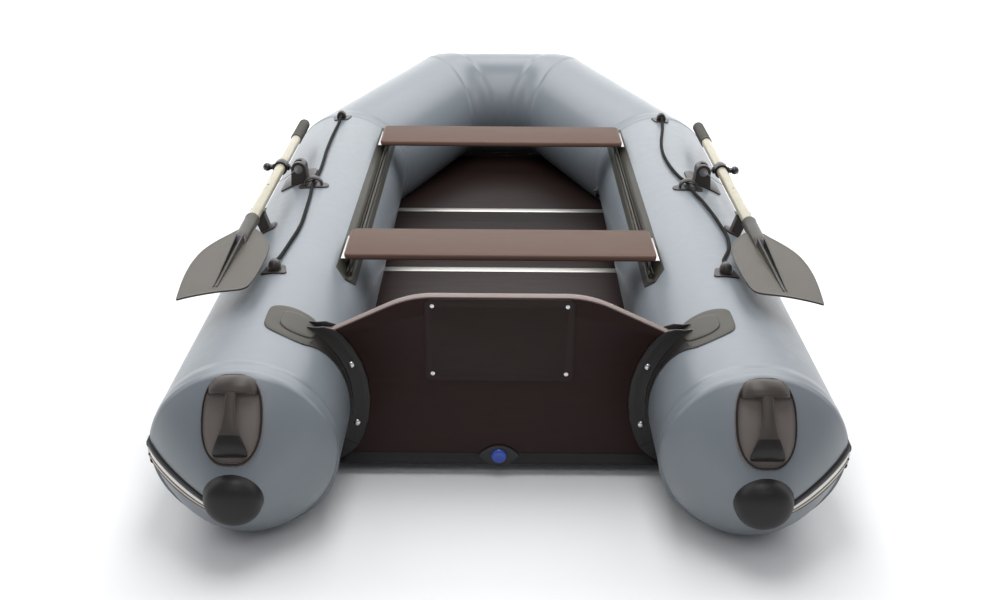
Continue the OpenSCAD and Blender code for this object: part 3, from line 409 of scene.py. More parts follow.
def along_tubes(turns, lift, tape=TAPE_T, climb=0.0, top=None):
    """Hoops of skin points at the given turns, from the starboard cap round the bow to port.

    climb turns the points back towards the top, most at the tail joints. With top given, a
    strip that starts at that turn keeps most of its width where the cones narrow."""
    hoops = []

    def rise(y):
        near = max(0.0, 1 - abs(y - TAIL_JOINT.y + 0.02) / (0.6 if y > TAIL_JOINT.y else 0.2))
        return climb * near * near * (3 - 2 * near)

    def hoop(place):
        hoops.append([place(i, t) for i, t in enumerate(turns)])

    def cone(port_side):
        shares = [1.0, 0.985, 0.955, 0.91, 0.85, 0.78, 0.7, 0.62, 0.54, 0.46, 0.38, 0.3, 0.22, 0.16]
        shares += [0.14, 0.09, 0.05]
        for share in reversed(shares) if port_side else shares:
            taped = tape if share < 0.15 else 0.0

            def place(i, t, share=share, taped=taped):
                t = t - rise(TAIL_JOINT.y - CONE_LEN * share)
                first = cone_start(t, lift[i])
                s = first + (CONE_LEN - first) * share
                if top is not None:
                    t += (turns[i] - top) * ((TUBE_R / cone_radius(s)) ** 0.75 - 1)
                return on_cone(port_side, s, t, lift[i] + taped)

            hoop(place)

    def leg(j):
        length = (JOINTS[j + 1] - JOINTS[j]).length
        inner = max(2, round(length / 0.09))
        near, far = CREASES[j], CREASES[j + 1]
        steps = (0.0, 0.006, 0.007, 0.03)
        marks = [("start", near + d) for d in steps]
        marks += [("share", (k + 1) / (inner + 1)) for k in range(inner)]
        marks += [("end", far + d) for d in reversed(steps)]
        for kind, value in marks:

            def place(i, t, kind=kind, value=value):
                edge = {"start": near, "end": far, "share": 0}[kind] + 0.0065
                taped = tape if kind != "share" and value < edge else 0.0
                if j in (0, 4):
                    along = value if kind == "share" else 0.0 if (kind == "start") == (j == 0) else 1.0
                    t = t - rise(TAIL_JOINT.y + length * (along if j == 0 else 1 - along))
                radius = TUBE_R + lift[i] + taped
                a, b = at_joint(j, t, radius), at_joint(j + 1, t, radius)
                ahead = (b - a).normalized()
                if kind == "start":
                    return a + ahead * value
                if kind == "end":
                    return b - ahead * value
                first, last = near + 0.032, far + 0.032
                return a + ahead * (first + ((b - a).length - first - last) * value)

            hoop(place)

    def crease(j):
        for share in (0.25, 0.5, 0.75):

            def place(i, t, share=share):
                t = t - (rise(TAIL_JOINT.y) if j in (0, 5) else 0.0)
                m = at_joint(j, t, TUBE_R + lift[i] + tape)
                a, b = m - HEADINGS[j] * CREASES[j], m + HEADINGS[j + 1] * CREASES[j]
                return a * (1 - share) ** 2 + m * 2 * share * (1 - share) + b * share**2

            hoop(place)

    cone(False)
    for j in range(5):
        crease(j)
        leg(j)
    crease(5)
    cone(True)
    return hoops


turns = [2 * math.pi * i / TUBE_SIDES for i in range(TUBE_SIDES)]
tube_hoops = along_tubes(turns, [0.0] * TUBE_SIDES)
# where they lie on the floor the tubes are pressed flat
tube_hoops = [[Vector((p.x, p.y, max(p.z, 0.0))) for p in hoop] for hoop in tube_hoops]
air_tubes = over_hoops("air_tubes", tube_hoops, in_turn=False)
middles = [sum(h, Vector()) / len(h) for h in tube_hoops]
run = [0.0]
for a, b in zip(middles, middles[1:]):
    run.append(run[-1] + (b - a).length)
lay_uv(air_tubes, [2 * math.pi * TUBE_R] * len(run), run, TUBE_SIDES)
smooth(air_tubes, 60)


def coated_fabric(name, colour, shade, roughness):
    """Calendered PVC on polyester: a satin skin that shows its base cloth as a faint grid.

    The threads lie 1 mm apart, too fine to see, so the grid is drawn at 4 mm. Slow waves
    across the panels and short puckers stand for the pull of the welds."""
    fabric, shader = finish_named(name, colour, roughness, Coat_Weight=0.12, Coat_Roughness=0.3)
    place = node(fabric, "TexCoord").outputs["Object"]
    cloud = node(fabric, "TexNoise", {"Vector": place, "Scale": 2.2, "Detail": 4.0})
    tint = node(
        fabric,
        "Mix",
        {"Factor": cloud.outputs["Fac"], "A": linear(colour), "B": linear(shade)},
        data_type="RGBA",
    )
    fabric.node_tree.links.new(tint.outputs["Result"], shader.inputs["Base Color"])
    scuffs = node(fabric, "TexNoise", {"Vector": place, "Scale": 35.0, "Detail": 6.0})
    gloss = node(
        fabric,
        "MapRange",
        {"Value": scuffs.outputs["Fac"], "To Min": roughness - 0.05, "To Max": roughness + 0.07},
    )
    fabric.node_tree.links.new(gloss.outputs["Result"], shader.inputs["Roughness"])
    grid = node(
        fabric,
        "TexVoronoi",
        {"Vector": place, "Scale": 250.0, "Randomness": 0.12},
        distance="CHEBYCHEV",
    )
    pucker = node(fabric, "TexNoise", {"Vector": place, "Scale": 9.0, "Detail": 3.0})
    fine = node(
        fabric, "Bump", {"Height": grid.outputs["Distance"], "Strength": 0.05, "Distance": 0.0005}
    )
    slow = node(
        fabric,
        "Bump",
        {
            "Height": pucker.outputs["Fac"],
            "Strength": 0.10,
            "Distance": 0.006,
            "Normal": fine.outputs["Normal"],
        },
    )
    fabric.node_tree.links.new(slow.outputs["Normal"], shader.inputs["Normal"])
    return fabric


tube_fabric = coated_fabric("coated_pvc_fabric_grey", "#6D747A", "#767D83", 0.36)
dress(
    air_tubes, tube_fabric,
    replaces=[
        "port_side_tube", "starboard_side_tube", "port_tail_cone", "starboard_tail_cone",
        "port_bow_tube", "starboard_bow_tube", "bow_tube", "chamber_baffles",
    ],
)  # fmt: skip

# ---------------------------------------------------------------- rub strake
# An extruded rubber strip glued round the outside just below the widest line: a black bead
# above, then a white and a cream stripe between black ribs.

# Each point of the section: degrees below the widest line, and height over the skin in mm
STRAKE_SECTION = [
    (-1.9, 0.3), (-1.9, 2.5), (-1.2, 5.4), (0.2, 7.2), (2.2, 7.2), (3.6, 5.6), (4.0, 4.6),
    (4.3, 5.0), (7.9, 5.0), (8.2, 4.6), (8.5, 5.4), (9.8, 5.4), (10.1, 4.4), (10.4, 4.7),
    (12.6, 4.7), (12.9, 4.3), (13.2, 5.0), (15.0, 4.6), (15.9, 2.0), (15.9, 0.3), (7.0, 0.3),
]  # fmt: skip
strake_turns = [math.radians(a) for a, _ in STRAKE_SECTION]
strake_lift = [h / 1000 for _, h in STRAKE_SECTION]
rub_strake = over_hoops(
    "rub_strake_strip", along_tubes(strake_turns, strake_lift, 0.0, math.radians(7), strake_turns[0])
)


def moulded_rubber(name, colour, worn, roughness, grain):
    """Moulded EPDM rubber: a dull bloom, slightly greyer where handled, and a fine grain."""
    rubber, shader = finish_named(name, colour, roughness, Specular_IOR_Level=0.26)
    place = node(rubber, "TexCoord").outputs["Object"]
    bloom = node(rubber, "TexNoise", {"Vector": place, "Scale": 14.0, "Detail": 5.0})
    tint = node(
        rubber,
        "Mix",
        {"Factor": bloom.outputs["Fac"], "A": linear(colour), "B": linear(worn)},
        data_type="RGBA",
    )
    rubber.node_tree.links.new(tint.outputs["Result"], shader.inputs["Base Color"])
    pits = node(rubber, "TexNoise", {"Vector": place, "Scale": 1 / grain, "Detail": 2.0})
    skin = node(
        rubber, "Bump", {"Height": pits.outputs["Fac"], "Strength": 0.22, "Distance": 0.0006}
    )
    rubber.node_tree.links.new(skin.outputs["Normal"], shader.inputs["Normal"])
    return rubber


black_rubber = moulded_rubber("moulded_epdm_black", "#1D1C1D", "#272526", 0.42, 0.0016)
white_rubber = moulded_rubber("extruded_pvc_white", "#E9E7E4", "#DEDBD6", 0.4, 0.002)
cream_rubber = moulded_rubber("extruded_pvc_cream", "#CDC2AE", "#BDB19C", 0.42, 0.002)
dress(rub_strake, [black_rubber, white_rubber, cream_rubber], replaces=["rub_strake"])
for face in rub_strake.data.polygons:
    columns = sorted({v % len(STRAKE_SECTION) for v in face.vertices})
    if len(columns) == 2 and columns[1] - columns[0] == 1:
        face.material_index = 1 if 6 <= columns[0] <= 8 else 2 if 12 <= columns[0] <= 14 else 0
smooth(rub_strake, 50)

# ---------------------------------------------------------------- tail caps
# Thick moulded rubber cups over the points of the tail cones, with a low rolled rim.

CAP_PROFILE = [(0.0612, -0.0050), (0.0618, -0.0010), (0.0606, 0.0018)]
for i in range(15):
    a = math.pi / 2 * i / 14
    CAP_PROFILE.append((0.0605 * math.cos(a) ** 0.8, 0.0025 + 0.0415 * math.sin(a) ** 0.85))


def spun(name, profile, steps, place, closed=False):
    """Draws a profile of (radius, height) pairs, spins it round its axis and puts it in place."""
    mesh = bpy.data.meshes.new(name)
    mesh.from_pydata(
        [(r, 0, h) for r, h in profile], [(i, i + 1) for i in range(len(profile) - 1)], []
    )
    piece = bpy.data.objects.new(name, mesh)
    bpy.context.scene.collection.objects.link(piece)
    edit(piece)
    if closed:
        bpy.ops.mesh.edge_face_add()
        bpy.ops.mesh.delete(type="ONLY_FACE")
        bpy.ops.mesh.select_all(action="SELECT")
    bpy.ops.mesh.spin(
        steps=steps, angle=2 * math.pi, center=(0, 0, 0), axis=(0, 0, 1), use_auto_merge=True
    )
    bpy.ops.mesh.select_all(action="SELECT")
    bpy.ops.mesh.remove_doubles(threshold=1e-6)
    bpy.ops.mesh.fill_holes(sides=0)
    bpy.ops.mesh.select_all(action="SELECT")
    bpy.ops.mesh.normals_make_consistent(inside=False)
    close_edit()
    piece.data.transform(place)
    return piece


def placed(origin, x_axis, y_axis, z_axis):
    """The matrix that brings local axes to three unit vectors at origin."""
    return Matrix(
        [(x_axis[i], y_axis[i], z_axis[i], origin[i]) for i in range(3)] + [(0, 0, 0, 1)]
    )


def joined(name, parts):
    """Joins pieces into one mesh, named for the whole."""
    bpy.ops.object.select_all(action="DESELECT")
    for part in parts:
        part.select_set(True)
    bpy.context.view_layer.objects.active = parts[0]
    bpy.ops.object.join()
    parts[0].name = name
    parts[0].data.name = name
    return parts[0]


FLIP = Matrix.Diagonal((-1, 1, 1, 1))


def across_boat(piece, name=None):
    """A copy of a starboard piece on the port side, turned the right way out again."""
    twin = piece.copy()
    twin.data = piece.data.copy()
    bpy.context.scene.collection.objects.link(twin)
    twin.data.transform(FLIP)
    twin.data.flip_normals()
    if name:
        twin.name = name
        twin.data.name = name
    return twin


TAIL_UP = Vector((1, 0, 0)).cross(TAIL_AHEAD)
cap_base = TAIL_JOINT - TAIL_AHEAD * CONE_LEN
cap = spun(
    "cap", CAP_PROFILE, 64, placed(cap_base, Vector((1, 0, 0)), -TAIL_UP, -TAIL_AHEAD)
)
tail_caps = joined("rubber_tail_caps", [cap, across_boat(cap)])
smooth(tail_caps, 60)
dress(tail_caps, black_rubber, replaces=["tail_caps"])

# ---------------------------------------------------------------- carry handles
# Moulded rubber: an oval dish with a rolled rim, and a bar across it that starts under a hood
# at the top, narrows where fingers close round it and flares to a broad lip at the bottom.

HANDLE_L, HANDLE_W = 0.188, 0.126
HANDLE_POINTS = 56
# Share of the outline, and height over the fabric in mm, from the skirt to the dish's middle
DISH_RINGS = [
    (1.0, -34), (1.0, -3), (1.004, 5), (0.994, 9.4), (0.968, 11.6), (0.944, 11.6), (0.922, 9.4),
    (0.9, 5.4), (0.85, 2.6), (0.74, 1.6), (0.5, 1.2), (0.25, 1.2), (0.05, 1.2),
]  # fmt: skip
# Along the bar in mm from the dish's middle: half width, underside, top, all in mm
BAR_STATIONS = [
    (66, 15, 12, 28), (60, 13, 14, 30), (50, 12, 16, 32), (36, 11.5, 18, 33.5),
    (18, 12, 19, 34.5), (0, 13.5, 19, 35), (-18, 17, 18.5, 35), (-34, 22.5, 16, 34),
    (-48, 29, 12, 31), (-60, 34, 7, 26.5), (-68, 36, 3, 20), (-73, 36, 2, 13), (-76, 33, 1, 7),
]  # fmt: skip
# The hood over the bar's upper end: along in mm, half width, top; it covers both finger holes
HOOD_STATIONS = [
    (92, 26, 10), (89, 36, 15), (84, 42, 20), (78, 46, 24.5), (71, 49, 28), (64, 50.5, 30),
    (57, 51, 30.5), (53, 50.5, 30), (51.5, 49.5, 28.5),
]  # fmt: skip


def handle_outline(share):
    """The oval of the moulding, narrower at both ends than in its upper half."""
    points = []
    for i in range(HANDLE_POINTS):
        turn = 2 * math.pi * i / HANDLE_POINTS
        c, s = math.cos(turn), math.sin(turn)
        x = math.copysign(abs(c) ** 0.62, c)
        y = math.copysign(abs(s) ** 0.62, s)
        narrow = 1 - 0.12 * max(0, y) ** 2 - 0.20 * max(0, -y) ** 2
        inset = (1 - share) * HANDLE_W / 2 if share > 0.8 else 0
        wide = HANDLE_W / 2 * narrow - inset if share > 0.8 else HANDLE_W / 2 * narrow * share
        long = HANDLE_L / 2 - inset if share > 0.8 else HANDLE_L / 2 * share
        points.append((x * wide, y * long))
    return points


def oval_bar(name, stations, points=20, power=0.7):
    """A bar over stations of (y, half width, underside, top) in mm, with rounded sections."""
    hoops = []
    for y, half, low, high in stations:
        hoop = []
        for i in range(points):
            turn = 2 * math.pi * i / points
            c, s = math.cos(turn), math.sin(turn)
            x = half * math.copysign(abs(c) ** power, c)
            z = (low + high) / 2 + (high - low) / 2 * math.copysign(abs(s) ** power, s)
            hoop.append(Vector((x, y, z)) / 1000)
        hoops.append(hoop)
    return over_hoops(name, hoops)


def refine(piece, levels=1):
    """Applies a subdivision surface."""
    select_only(piece)
    fine = piece.modifiers.new("fine", "SUBSURF")
    fine.levels = fine.render_levels = levels
    bpy.ops.object.modifier_apply(modifier=fine.name)


def carry_handle(name, place, sag):
    """One moulding; sag(x, y) says how far the fabric falls away under it."""
    dish = over_hoops(
        name + "_dish",
        [[Vector((x, y, h / 1000)) for x, y in handle_outline(share)] for share, h in DISH_RINGS],
    )
    bar = oval_bar(name + "_bar", BAR_STATIONS)
    refine(bar)
    hoops = []
    for y, half, top in HOOD_STATIONS:
        arch = [math.pi * i / 22 for i in range(23)]
        over = [(half * math.cos(a), top * math.sin(a) ** 0.7) for a in arch]
        inner = max(0.0, (y - 51.5) / 40)
        under = [
            ((half - 4) * math.cos(a) * (1 - inner), max(0.5, (top - 4) * math.sin(a) ** 0.7) * (1 - inner))
            for a in reversed(arch)
        ]
        hoops.append([Vector((x, y, z + 1)) / 1000 for x, z in over + under])
    hood = over_hoops(name + "_hood", hoops)
    for part, colours in ((dish, "dish"), (bar, "bar"), (hood, "hood")):
        part.data.materials.append(handle_rubber)
        part.data.materials.append(handle_dark_rim_and_bar_shade)
        part.data.materials.append(handle_pale)
        for face in part.data.polygons:
            x, y, z = face.center
            if colours == "dish":
                # the rim's top, more than 8.2 mm over the fabric, and the skirt under the fabric take the
                # darker rubber; the dish and the rim's sides take the paler one
                face.material_index = 1 if z > 0.0082 else 2 if z > 0 else 1
            elif colours == "bar":
                # painted shade: the bar's lower end, turned down and away from the overhead light, takes the
                # dark rubber
                face.material_index = 1 if y < -0.036 else 0
    whole = joined(name, [dish, bar, hood])
    for v in whole.data.vertices:
        v.co.z -= sag(v.co.x, v.co.y)
    whole.data.transform(place)
    smooth(whole, 50)
    return whole


handle_rubber = moulded_rubber("moulded_epdm_warm_grey", "#3D3734", "#4A4440", 0.34, 0.0014)
# the dark rubber: the rim's top and the skirt, and painted shade on the bar's lower end
handle_dark_rim_and_bar_shade = moulded_rubber("moulded_epdm_dark_rim_and_painted_shade", "#1F1C1C", "#2A2726", 0.28, 0.0014)
# a paler rubber for the dish and the sides of its rim
handle_pale = moulded_rubber("moulded_epdm_pale_dish", "#6A625E", "#78706B", 0.42, 0.0014)
handle_s = CONE_LEN / 2 + 0.001
handle_fall = (TUBE_R - CAP_R) * CONE_BULGE / CONE_LEN * (handle_s / CONE_LEN) ** (CONE_BULGE - 1)
slope = math.atan(handle_fall)
handle_up = TAIL_UP * math.sin(slope) + TAIL_AHEAD * math.cos(slope)
handle_out = TAIL_UP * math.cos(slope) - TAIL_AHEAD * math.sin(slope)
handle_at = TAIL_JOINT - TAIL_AHEAD * handle_s + TAIL_UP * cone_radius(handle_s)
for side, name in ((1, "starboard"), (-1, "port")):
    tail_handle = carry_handle(
        name + "_carry_handle",
        placed(handle_at, Vector((1, 0, 0)), handle_up, handle_out),
        lambda x, y: 1.9 * x * x + 0.7 * y * y,
    )
    if side < 0:
        tail_handle.data.transform(FLIP)
        tail_handle.data.flip_normals()
    dress(tail_handle, [], replaces=[name + "_tail_handle"])
bow_out = Vector((0, math.sin(math.radians(48)), math.cos(math.radians(48))))
bow_handle = carry_handle(
    "bow_carry_handle",
    placed(
        hull(0, 2.580, 0.268) + bow_out * TUBE_R,
        bow_out.cross(Vector((1, 0, 0))) * -1,
        Vector((1, 0, 0)),
        bow_out,
    ),
    lambda x, y: 2.5 * x * x,
)
edit(bow_handle)
bpy.ops.mesh.normals_make_consistent(inside=False)
close_edit()
dress(bow_handle, [], replaces=["bow_handle"])

# ---------------------------------------------------------------- bottom and keel
# One sheet of heavier coated fabric, glued under the tubes and pushed down to a shallow V
# by the air keel, a fabric tube that lies on it under the floor.

bottom_fabric = coated_fabric("coated_pvc_fabric_dark", "#3B3D39", "#444640", 0.5)
BOTTOM_T = 0.0018


def soft_copy(cad_name, name, edge, segments=3, angle=32):
    """A copy of a CAD node with its flats whole again and its edges rounded."""
    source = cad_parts[cad_name]
    piece = bpy.data.objects.new(name, source.data.copy())
    bpy.context.scene.collection.objects.link(piece)
    piece.data.materials.clear()
    select_only(piece)
    if piece.data.has_custom_normals:
        bpy.ops.mesh.customdata_custom_splitnormals_clear()
    edit(piece)
    bpy.ops.mesh.remove_doubles(threshold=2e-5)
    bpy.ops.mesh.dissolve_limited(angle_limit=math.radians(1.0))
    bpy.ops.mesh.normals_make_consistent(inside=False)
    close_edit()
    round_over = piece.modifiers.new("round", "BEVEL")
    round_over.width = edge
    round_over.segments = segments
    round_over.limit_method = "ANGLE"
    round_over.angle_limit = math.radians(angle)
    bpy.ops.object.modifier_apply(modifier=round_over.name)
    smooth(piece, 30)
    return piece


bottom = soft_copy("bottom_skin", "bottom_sheet", 0.0004, 1)
dress(bottom, bottom_fabric, replaces=["bottom_skin"])

keel_low, keel_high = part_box("keel_tube")
keel_r = (keel_high.z - keel_low.z) / 2
keel_len = keel_high.y - keel_low.y
keel_profile = [(0.0, 0.0)]
for i in range(9):
    a = math.pi / 2 * i / 8
    keel_profile.append((keel_r * math.sin(a) ** 0.7, 0.05 * (1 - math.cos(a))))
keel_profile += [(r, keel_len - h) for r, h in reversed(keel_profile)]
keel = spun(
    "keel_air_tube",
    keel_profile,
    32,
    placed(
        Vector((0, keel_low.y, keel_low.z + keel_r)),
        Vector((1, 0, 0)),
        Vector((0, 0, -1)),
        Vector((0, 1, 0)),
    ),
)
smooth(keel, 60)
dress(keel, tube_fabric, replaces=["keel_tube"])

# ---------------------------------------------------------------- floor
# Birch plywood faced with dark phenolic film, its edges sealed with black paint. Aluminium
# H sections join the boards, and channels slide over their outer edges.


def film_plywood(name, colour, shade, roughness):
    """Phenolic film pressed on plywood: a satin brown-black skin, with the faint ripple of the
    veneer below running along the board, and fine scratches."""
    ply, shader = finish_named(name, colour, roughness, Specular_IOR_Level=0.22)
    place = node(ply, "TexCoord").outputs["Object"]
    along = node(ply, "Mapping", {"Vector": place, "Scale": (1.0, 7.0, 7.0)})
    grain = node(
        ply, "TexNoise", {"Vector": along.outputs["Vector"], "Scale": 9.0, "Detail": 7.0}
    )
    tint = node(
        ply,
        "Mix",
        {"Factor": grain.outputs["Fac"], "A": linear(colour), "B": linear(shade)},
        data_type="RGBA",
    )
    ply.node_tree.links.new(tint.outputs["Result"], shader.inputs["Base Color"])
    gloss = node(
        ply,
        "MapRange",
        {"Value": grain.outputs["Fac"], "To Min": roughness - 0.06, "To Max": roughness + 0.08},
    )
    ply.node_tree.links.new(gloss.outputs["Result"], shader.inputs["Roughness"])
    ripple = node(
        ply, "Bump", {"Height": grain.outputs["Fac"], "Strength": 0.12, "Distance": 0.0004}
    )
    ply.node_tree.links.new(ripple.outputs["Normal"], shader.inputs["Normal"])
    return ply


floor_film = film_plywood("phenolic_film_plywood_dark", "#1C100E", "#251613", 0.5)
for board in (
    "aft_floorboard",
    "middle_aft_floorboard",
    "middle_forward_floorboard",
    "bow_floorboard",
):
    plank = soft_copy(board, board.replace("floorboard", "floor_panel"), 0.0015)
    dress(plank, floor_film, replaces=[board])


def milled_metal(name, colour, roughness, brushed):
    """Drawn or milled metal: die lines along its length, drawn 1 mm apart so that they show."""
    metal, shader = finish_named(name, colour, roughness, 1.0)
    place = node(metal, "TexCoord").outputs["Object"]
    lines = node(metal, "Mapping", {"Vector": place, "Scale": brushed})
    streaks = node(
        metal, "TexNoise", {"Vector": lines.outputs["Vector"], "Scale": 30.0, "Detail": 4.0}
    )
    gloss = node(
        metal,
        "MapRange",
        {"Value": streaks.outputs["Fac"], "To Min": roughness - 0.08, "To Max": roughness + 0.1},
    )
    metal.node_tree.links.new(gloss.outputs["Result"], shader.inputs["Roughness"])
    scored = node(
        metal, "Bump", {"Height": streaks.outputs["Fac"], "Strength": 0.15, "Distance": 0.0003}
    )
    metal.node_tree.links.new(scored.outputs["Normal"], shader.inputs["Normal"])
    return metal


anodised = milled_metal("anodised_aluminium_white", "#DAD8D2", 0.42, (2, 30, 30))
drawn_edge = milled_metal("mill_finish_aluminium", "#A5A6A6", 0.38, (30, 2, 30))
bars = soft_copy("floor_joint_bars", "floor_joint_sections", 0.0004, 2)
dress(bars, anodised, replaces=["floor_joint_bars"])
edges = soft_copy("floor_stringers", "floor_edge_channels", 0.0004, 2)
dress(edges, drawn_edge, replaces=["floor_stringers"])

# ---------------------------------------------------------------- transom
# Plywood 27 mm thick, film faced on both sides, its edges planed to a chamfer and varnished,
# so that they show paler. The top drops to the shoulders in an S curve. A flap of black
# fabric covers its foot, and plates for a motor are screwed to both faces.

TRANSOM_T = 0.027
TRANSOM_TOP, TRANSOM_FOOT, SHOULDER_Z = 0.452, 0.033, 0.367
EDGE_R = TUBE_R + 0.0077
CHAMFER = 0.003


def transom_outline():
    """Half outline in x and z from the middle of the top to the middle of the foot."""
    points = [(0.0, TRANSOM_TOP), (0.10, TRANSOM_TOP), (0.150, TRANSOM_TOP)]
    for i in range(1, 17):
        t = i / 16
        bent = t * t / 0.9 if t < 0.45 else t - 0.225
        z = TRANSOM_TOP + (SHOULDER_Z - TRANSOM_TOP) * bent / 0.775
        points.append((0.150 + (0.383 - 0.150) * t, z))
    first = math.asin((SHOULDER_Z - TUBE_R) / EDGE_R)
    last = -math.asin((TUBE_R - TRANSOM_FOOT) / EDGE_R)
    for i in range(25):
        a = first + (last - first) * i / 24
        points.append((HALF_BEAM - EDGE_R * math.cos(a), TUBE_R + EDGE_R * math.sin(a)))
    points += [(0.2, TRANSOM_FOOT), (0.0, TRANSOM_FOOT)]
    return points


half = transom_outline()
outline = half + [(-x, z) for x, z in reversed(half[1:-1])]
mesh = bpy.data.meshes.new("transom_panel")
mesh.from_pydata(
    [hull(x, 0, z) for x, z in outline],
    [(i, (i + 1) % len(outline)) for i in range(len(outline))],
    [],
)
transom = bpy.data.objects.new("transom_panel", mesh)
bpy.context.scene.collection.objects.link(transom)
edit(transom)
bpy.ops.mesh.edge_face_add()
bpy.ops.mesh.extrude_region_move(TRANSFORM_OT_translate={"value": (0, TRANSOM_T, 0)})
bpy.ops.mesh.select_all(action="SELECT")
bpy.ops.mesh.normals_make_consistent(inside=False)
close_edit()
planed = transom.modifiers.new("planed", "BEVEL")
planed.width = CHAMFER
planed.segments = 2
planed.limit_method = "ANGLE"
planed.angle_limit = math.radians(60)
bpy.ops.object.modifier_apply(modifier=planed.name)
transom_film = film_plywood("phenolic_film_plywood_transom", "#200F0D", "#291512", 0.42)
# Varnished end grain: the veneers show as alternate stripes about 2.5 mm wide
edge_wood, edge_shader = finish_named("varnished_plywood_edge", "#6E5D57", 0.45)
edge_place = node(edge_wood, "TexCoord").outputs["Object"]
plies = node(
    edge_wood,
    "TexWave",
    {"Vector": edge_place, "Scale": 62.0, "Distortion": 0.6, "Detail": 2.0},
    bands_direction="Y",
)
veneer = node(
    edge_wood,
    "Mix",
    {"Factor": plies.outputs["Fac"], "A": linear("#5E4E49"), "B": linear("#7E6C65")},
    data_type="RGBA",
)
edge_wood.node_tree.links.new(veneer.outputs["Result"], edge_shader.inputs["Base Color"])
dress(transom, [transom_film, edge_wood], replaces=["transom_board"])
for face in transom.data.polygons:
    face.material_index = 0 if abs(face.normal.y) > 0.97 else 1
smooth(transom, 25)

flap = soft_copy("transom_flap", "transom_foot_flap", 0.0006, 2)
dress(flap, black_rubber, replaces=["transom_flap"])

plate_film = film_plywood("phenolic_film_plywood_plate", "#211513", "#2B1D1A", 0.42)
plates = soft_copy("motor_plates", "motor_wear_plates", 0.001, 2)
dress(plates, plate_film, replaces=["motor_plates"])

polished = milled_metal("polished_stainless_steel", "#CFCFD2", 0.22, (8, 8, 8))
fasteners = soft_copy("transom_fasteners", "bolts_and_screws", 0.0004, 2)
dress(fasteners, polished, replaces=["transom_fasteners"])

# ---------------------------------------------------------------- transom holders
# Moulded rubber that ties the board to the tube: a base glued round the tube's inner side,
# a flange up each face of the board, and a broad wing over the top of the tube.

# Degrees inboard of the tube's top line, aft edge of the base and flange height, both in mm
HOLDER_SECTIONS = [
    (31, -84, 1), (35, -76, 8), (39, -66, 22), (44, -56, 31), (50, -48, 35), (58, -42, 36),
    (68, -38, 36), (78, -36, 36), (90, -35, 36), (102, -35, 36), (112, -35, 36), (119, -35, 36),
]  # fmt: skip
AFT_SECTIONS = [(119.2, 36), (122, 34), (126, 30), (130, 25), (134, 19), (138, 12), (141, 6)]


def round_tube(angle, y, height, side=1):
    """A point over the side tube's skin, at degrees inboard of its top line."""
    a = math.radians(angle)
    r = TUBE_R + height
    return hull(side * (HALF_BEAM - r * math.sin(a)), y, TUBE_R + r * math.cos(a))


def holder_section(angle, aft, rise):
    """Points of one section: base, aft flange, seat of the board, fore flange."""
    lift, t, fore = 0.0004, TRANSOM_T, 47 + max(0, -aft - 40) * 0.4
    up = 0.0079 + rise / 1000
    knee = min(0.006, 0.002 + rise / 4000)
    rows = [
        (aft / 1000, lift), (aft / 1000 + 0.001, 0.0026), (-0.021, 0.0034), (-0.0200, 0.0052),
        (-0.0170, 0.0056), (-0.0160, 0.0036), (-0.0085, knee),
        (-0.0062, knee + (up - knee) * 0.25), (-0.0052, knee + (up - knee) * 0.6),
        (-0.0050, up - 0.0010), (-0.0040, up), (-0.0012, up), (-0.0002, up - 0.0010),
        (-0.0002, 0.0079), (t + 0.0002, 0.0079), (t + 0.0002, up - 0.0010), (t + 0.0012, up),
        (t + 0.0040, up), (t + 0.0050, up - 0.0010), (t + 0.0055, knee + (up - knee) * 0.4),
        (t + 0.0090, knee), (t + 0.016, 0.0030), (fore / 1000 - 0.001, 0.0022),
        (fore / 1000, lift),
    ]  # fmt: skip
    return [round_tube(angle, y, h) for y, h in rows]


holder = over_hoops("holder", [holder_section(*s) for s in HOLDER_SECTIONS])
# The aft flange runs on below the floor's level, down to the board's foot
foot_hoops = []
for angle, rise in AFT_SECTIONS:
    up = 0.0079 + rise / 1000
    rows = [
        (-0.035, 0.0004), (-0.034, 0.0026), (-0.021, 0.0034), (-0.0200, 0.0052),
        (-0.0170, 0.0056), (-0.0160, 0.0036), (-0.0085, 0.0058), (-0.0056, 0.4 * up + 0.004),
        (-0.0052, up - 0.001), (-0.0042, up), (-0.0034, up), (-0.0024, up - 0.001),
        (-0.0024, 0.0004),
    ]  # fmt: skip
    foot_hoops.append([round_tube(angle, y, h) for y, h in rows])
holder_foot = over_hoops("holder_foot", foot_hoops)

# The wing: from the flanges' upper end over the tube, its edges in mm aft and fore
WING_SECTIONS = [
    (38, -70, 60), (34.5, -80, 68), (30, -86, 74), (24, -87, 78), (18, -82, 80), (13, -74, 78),
    (9, -65, 74), (6.5, -55, 68), (5, -42, 60), (4.2, -26, 48),
]  # fmt: skip


def wing_hoops(sections, low, high):
    hoops = []
    for angle, aft, fore in sections:
        a, f = aft / 1000, fore / 1000
        across = [(a, low), (a + 0.0004, (low + high) / 2), (a + 0.0016, high)]
        across += [(a + (f - a) * k / 10, high + 0.0008) for k in range(1, 10)]
        across += [(f - 0.0016, high), (f - 0.0004, (low + high) / 2), (f, low)]
        hoops.append([round_tube(angle, y, h) for y, h in across])
    return hoops


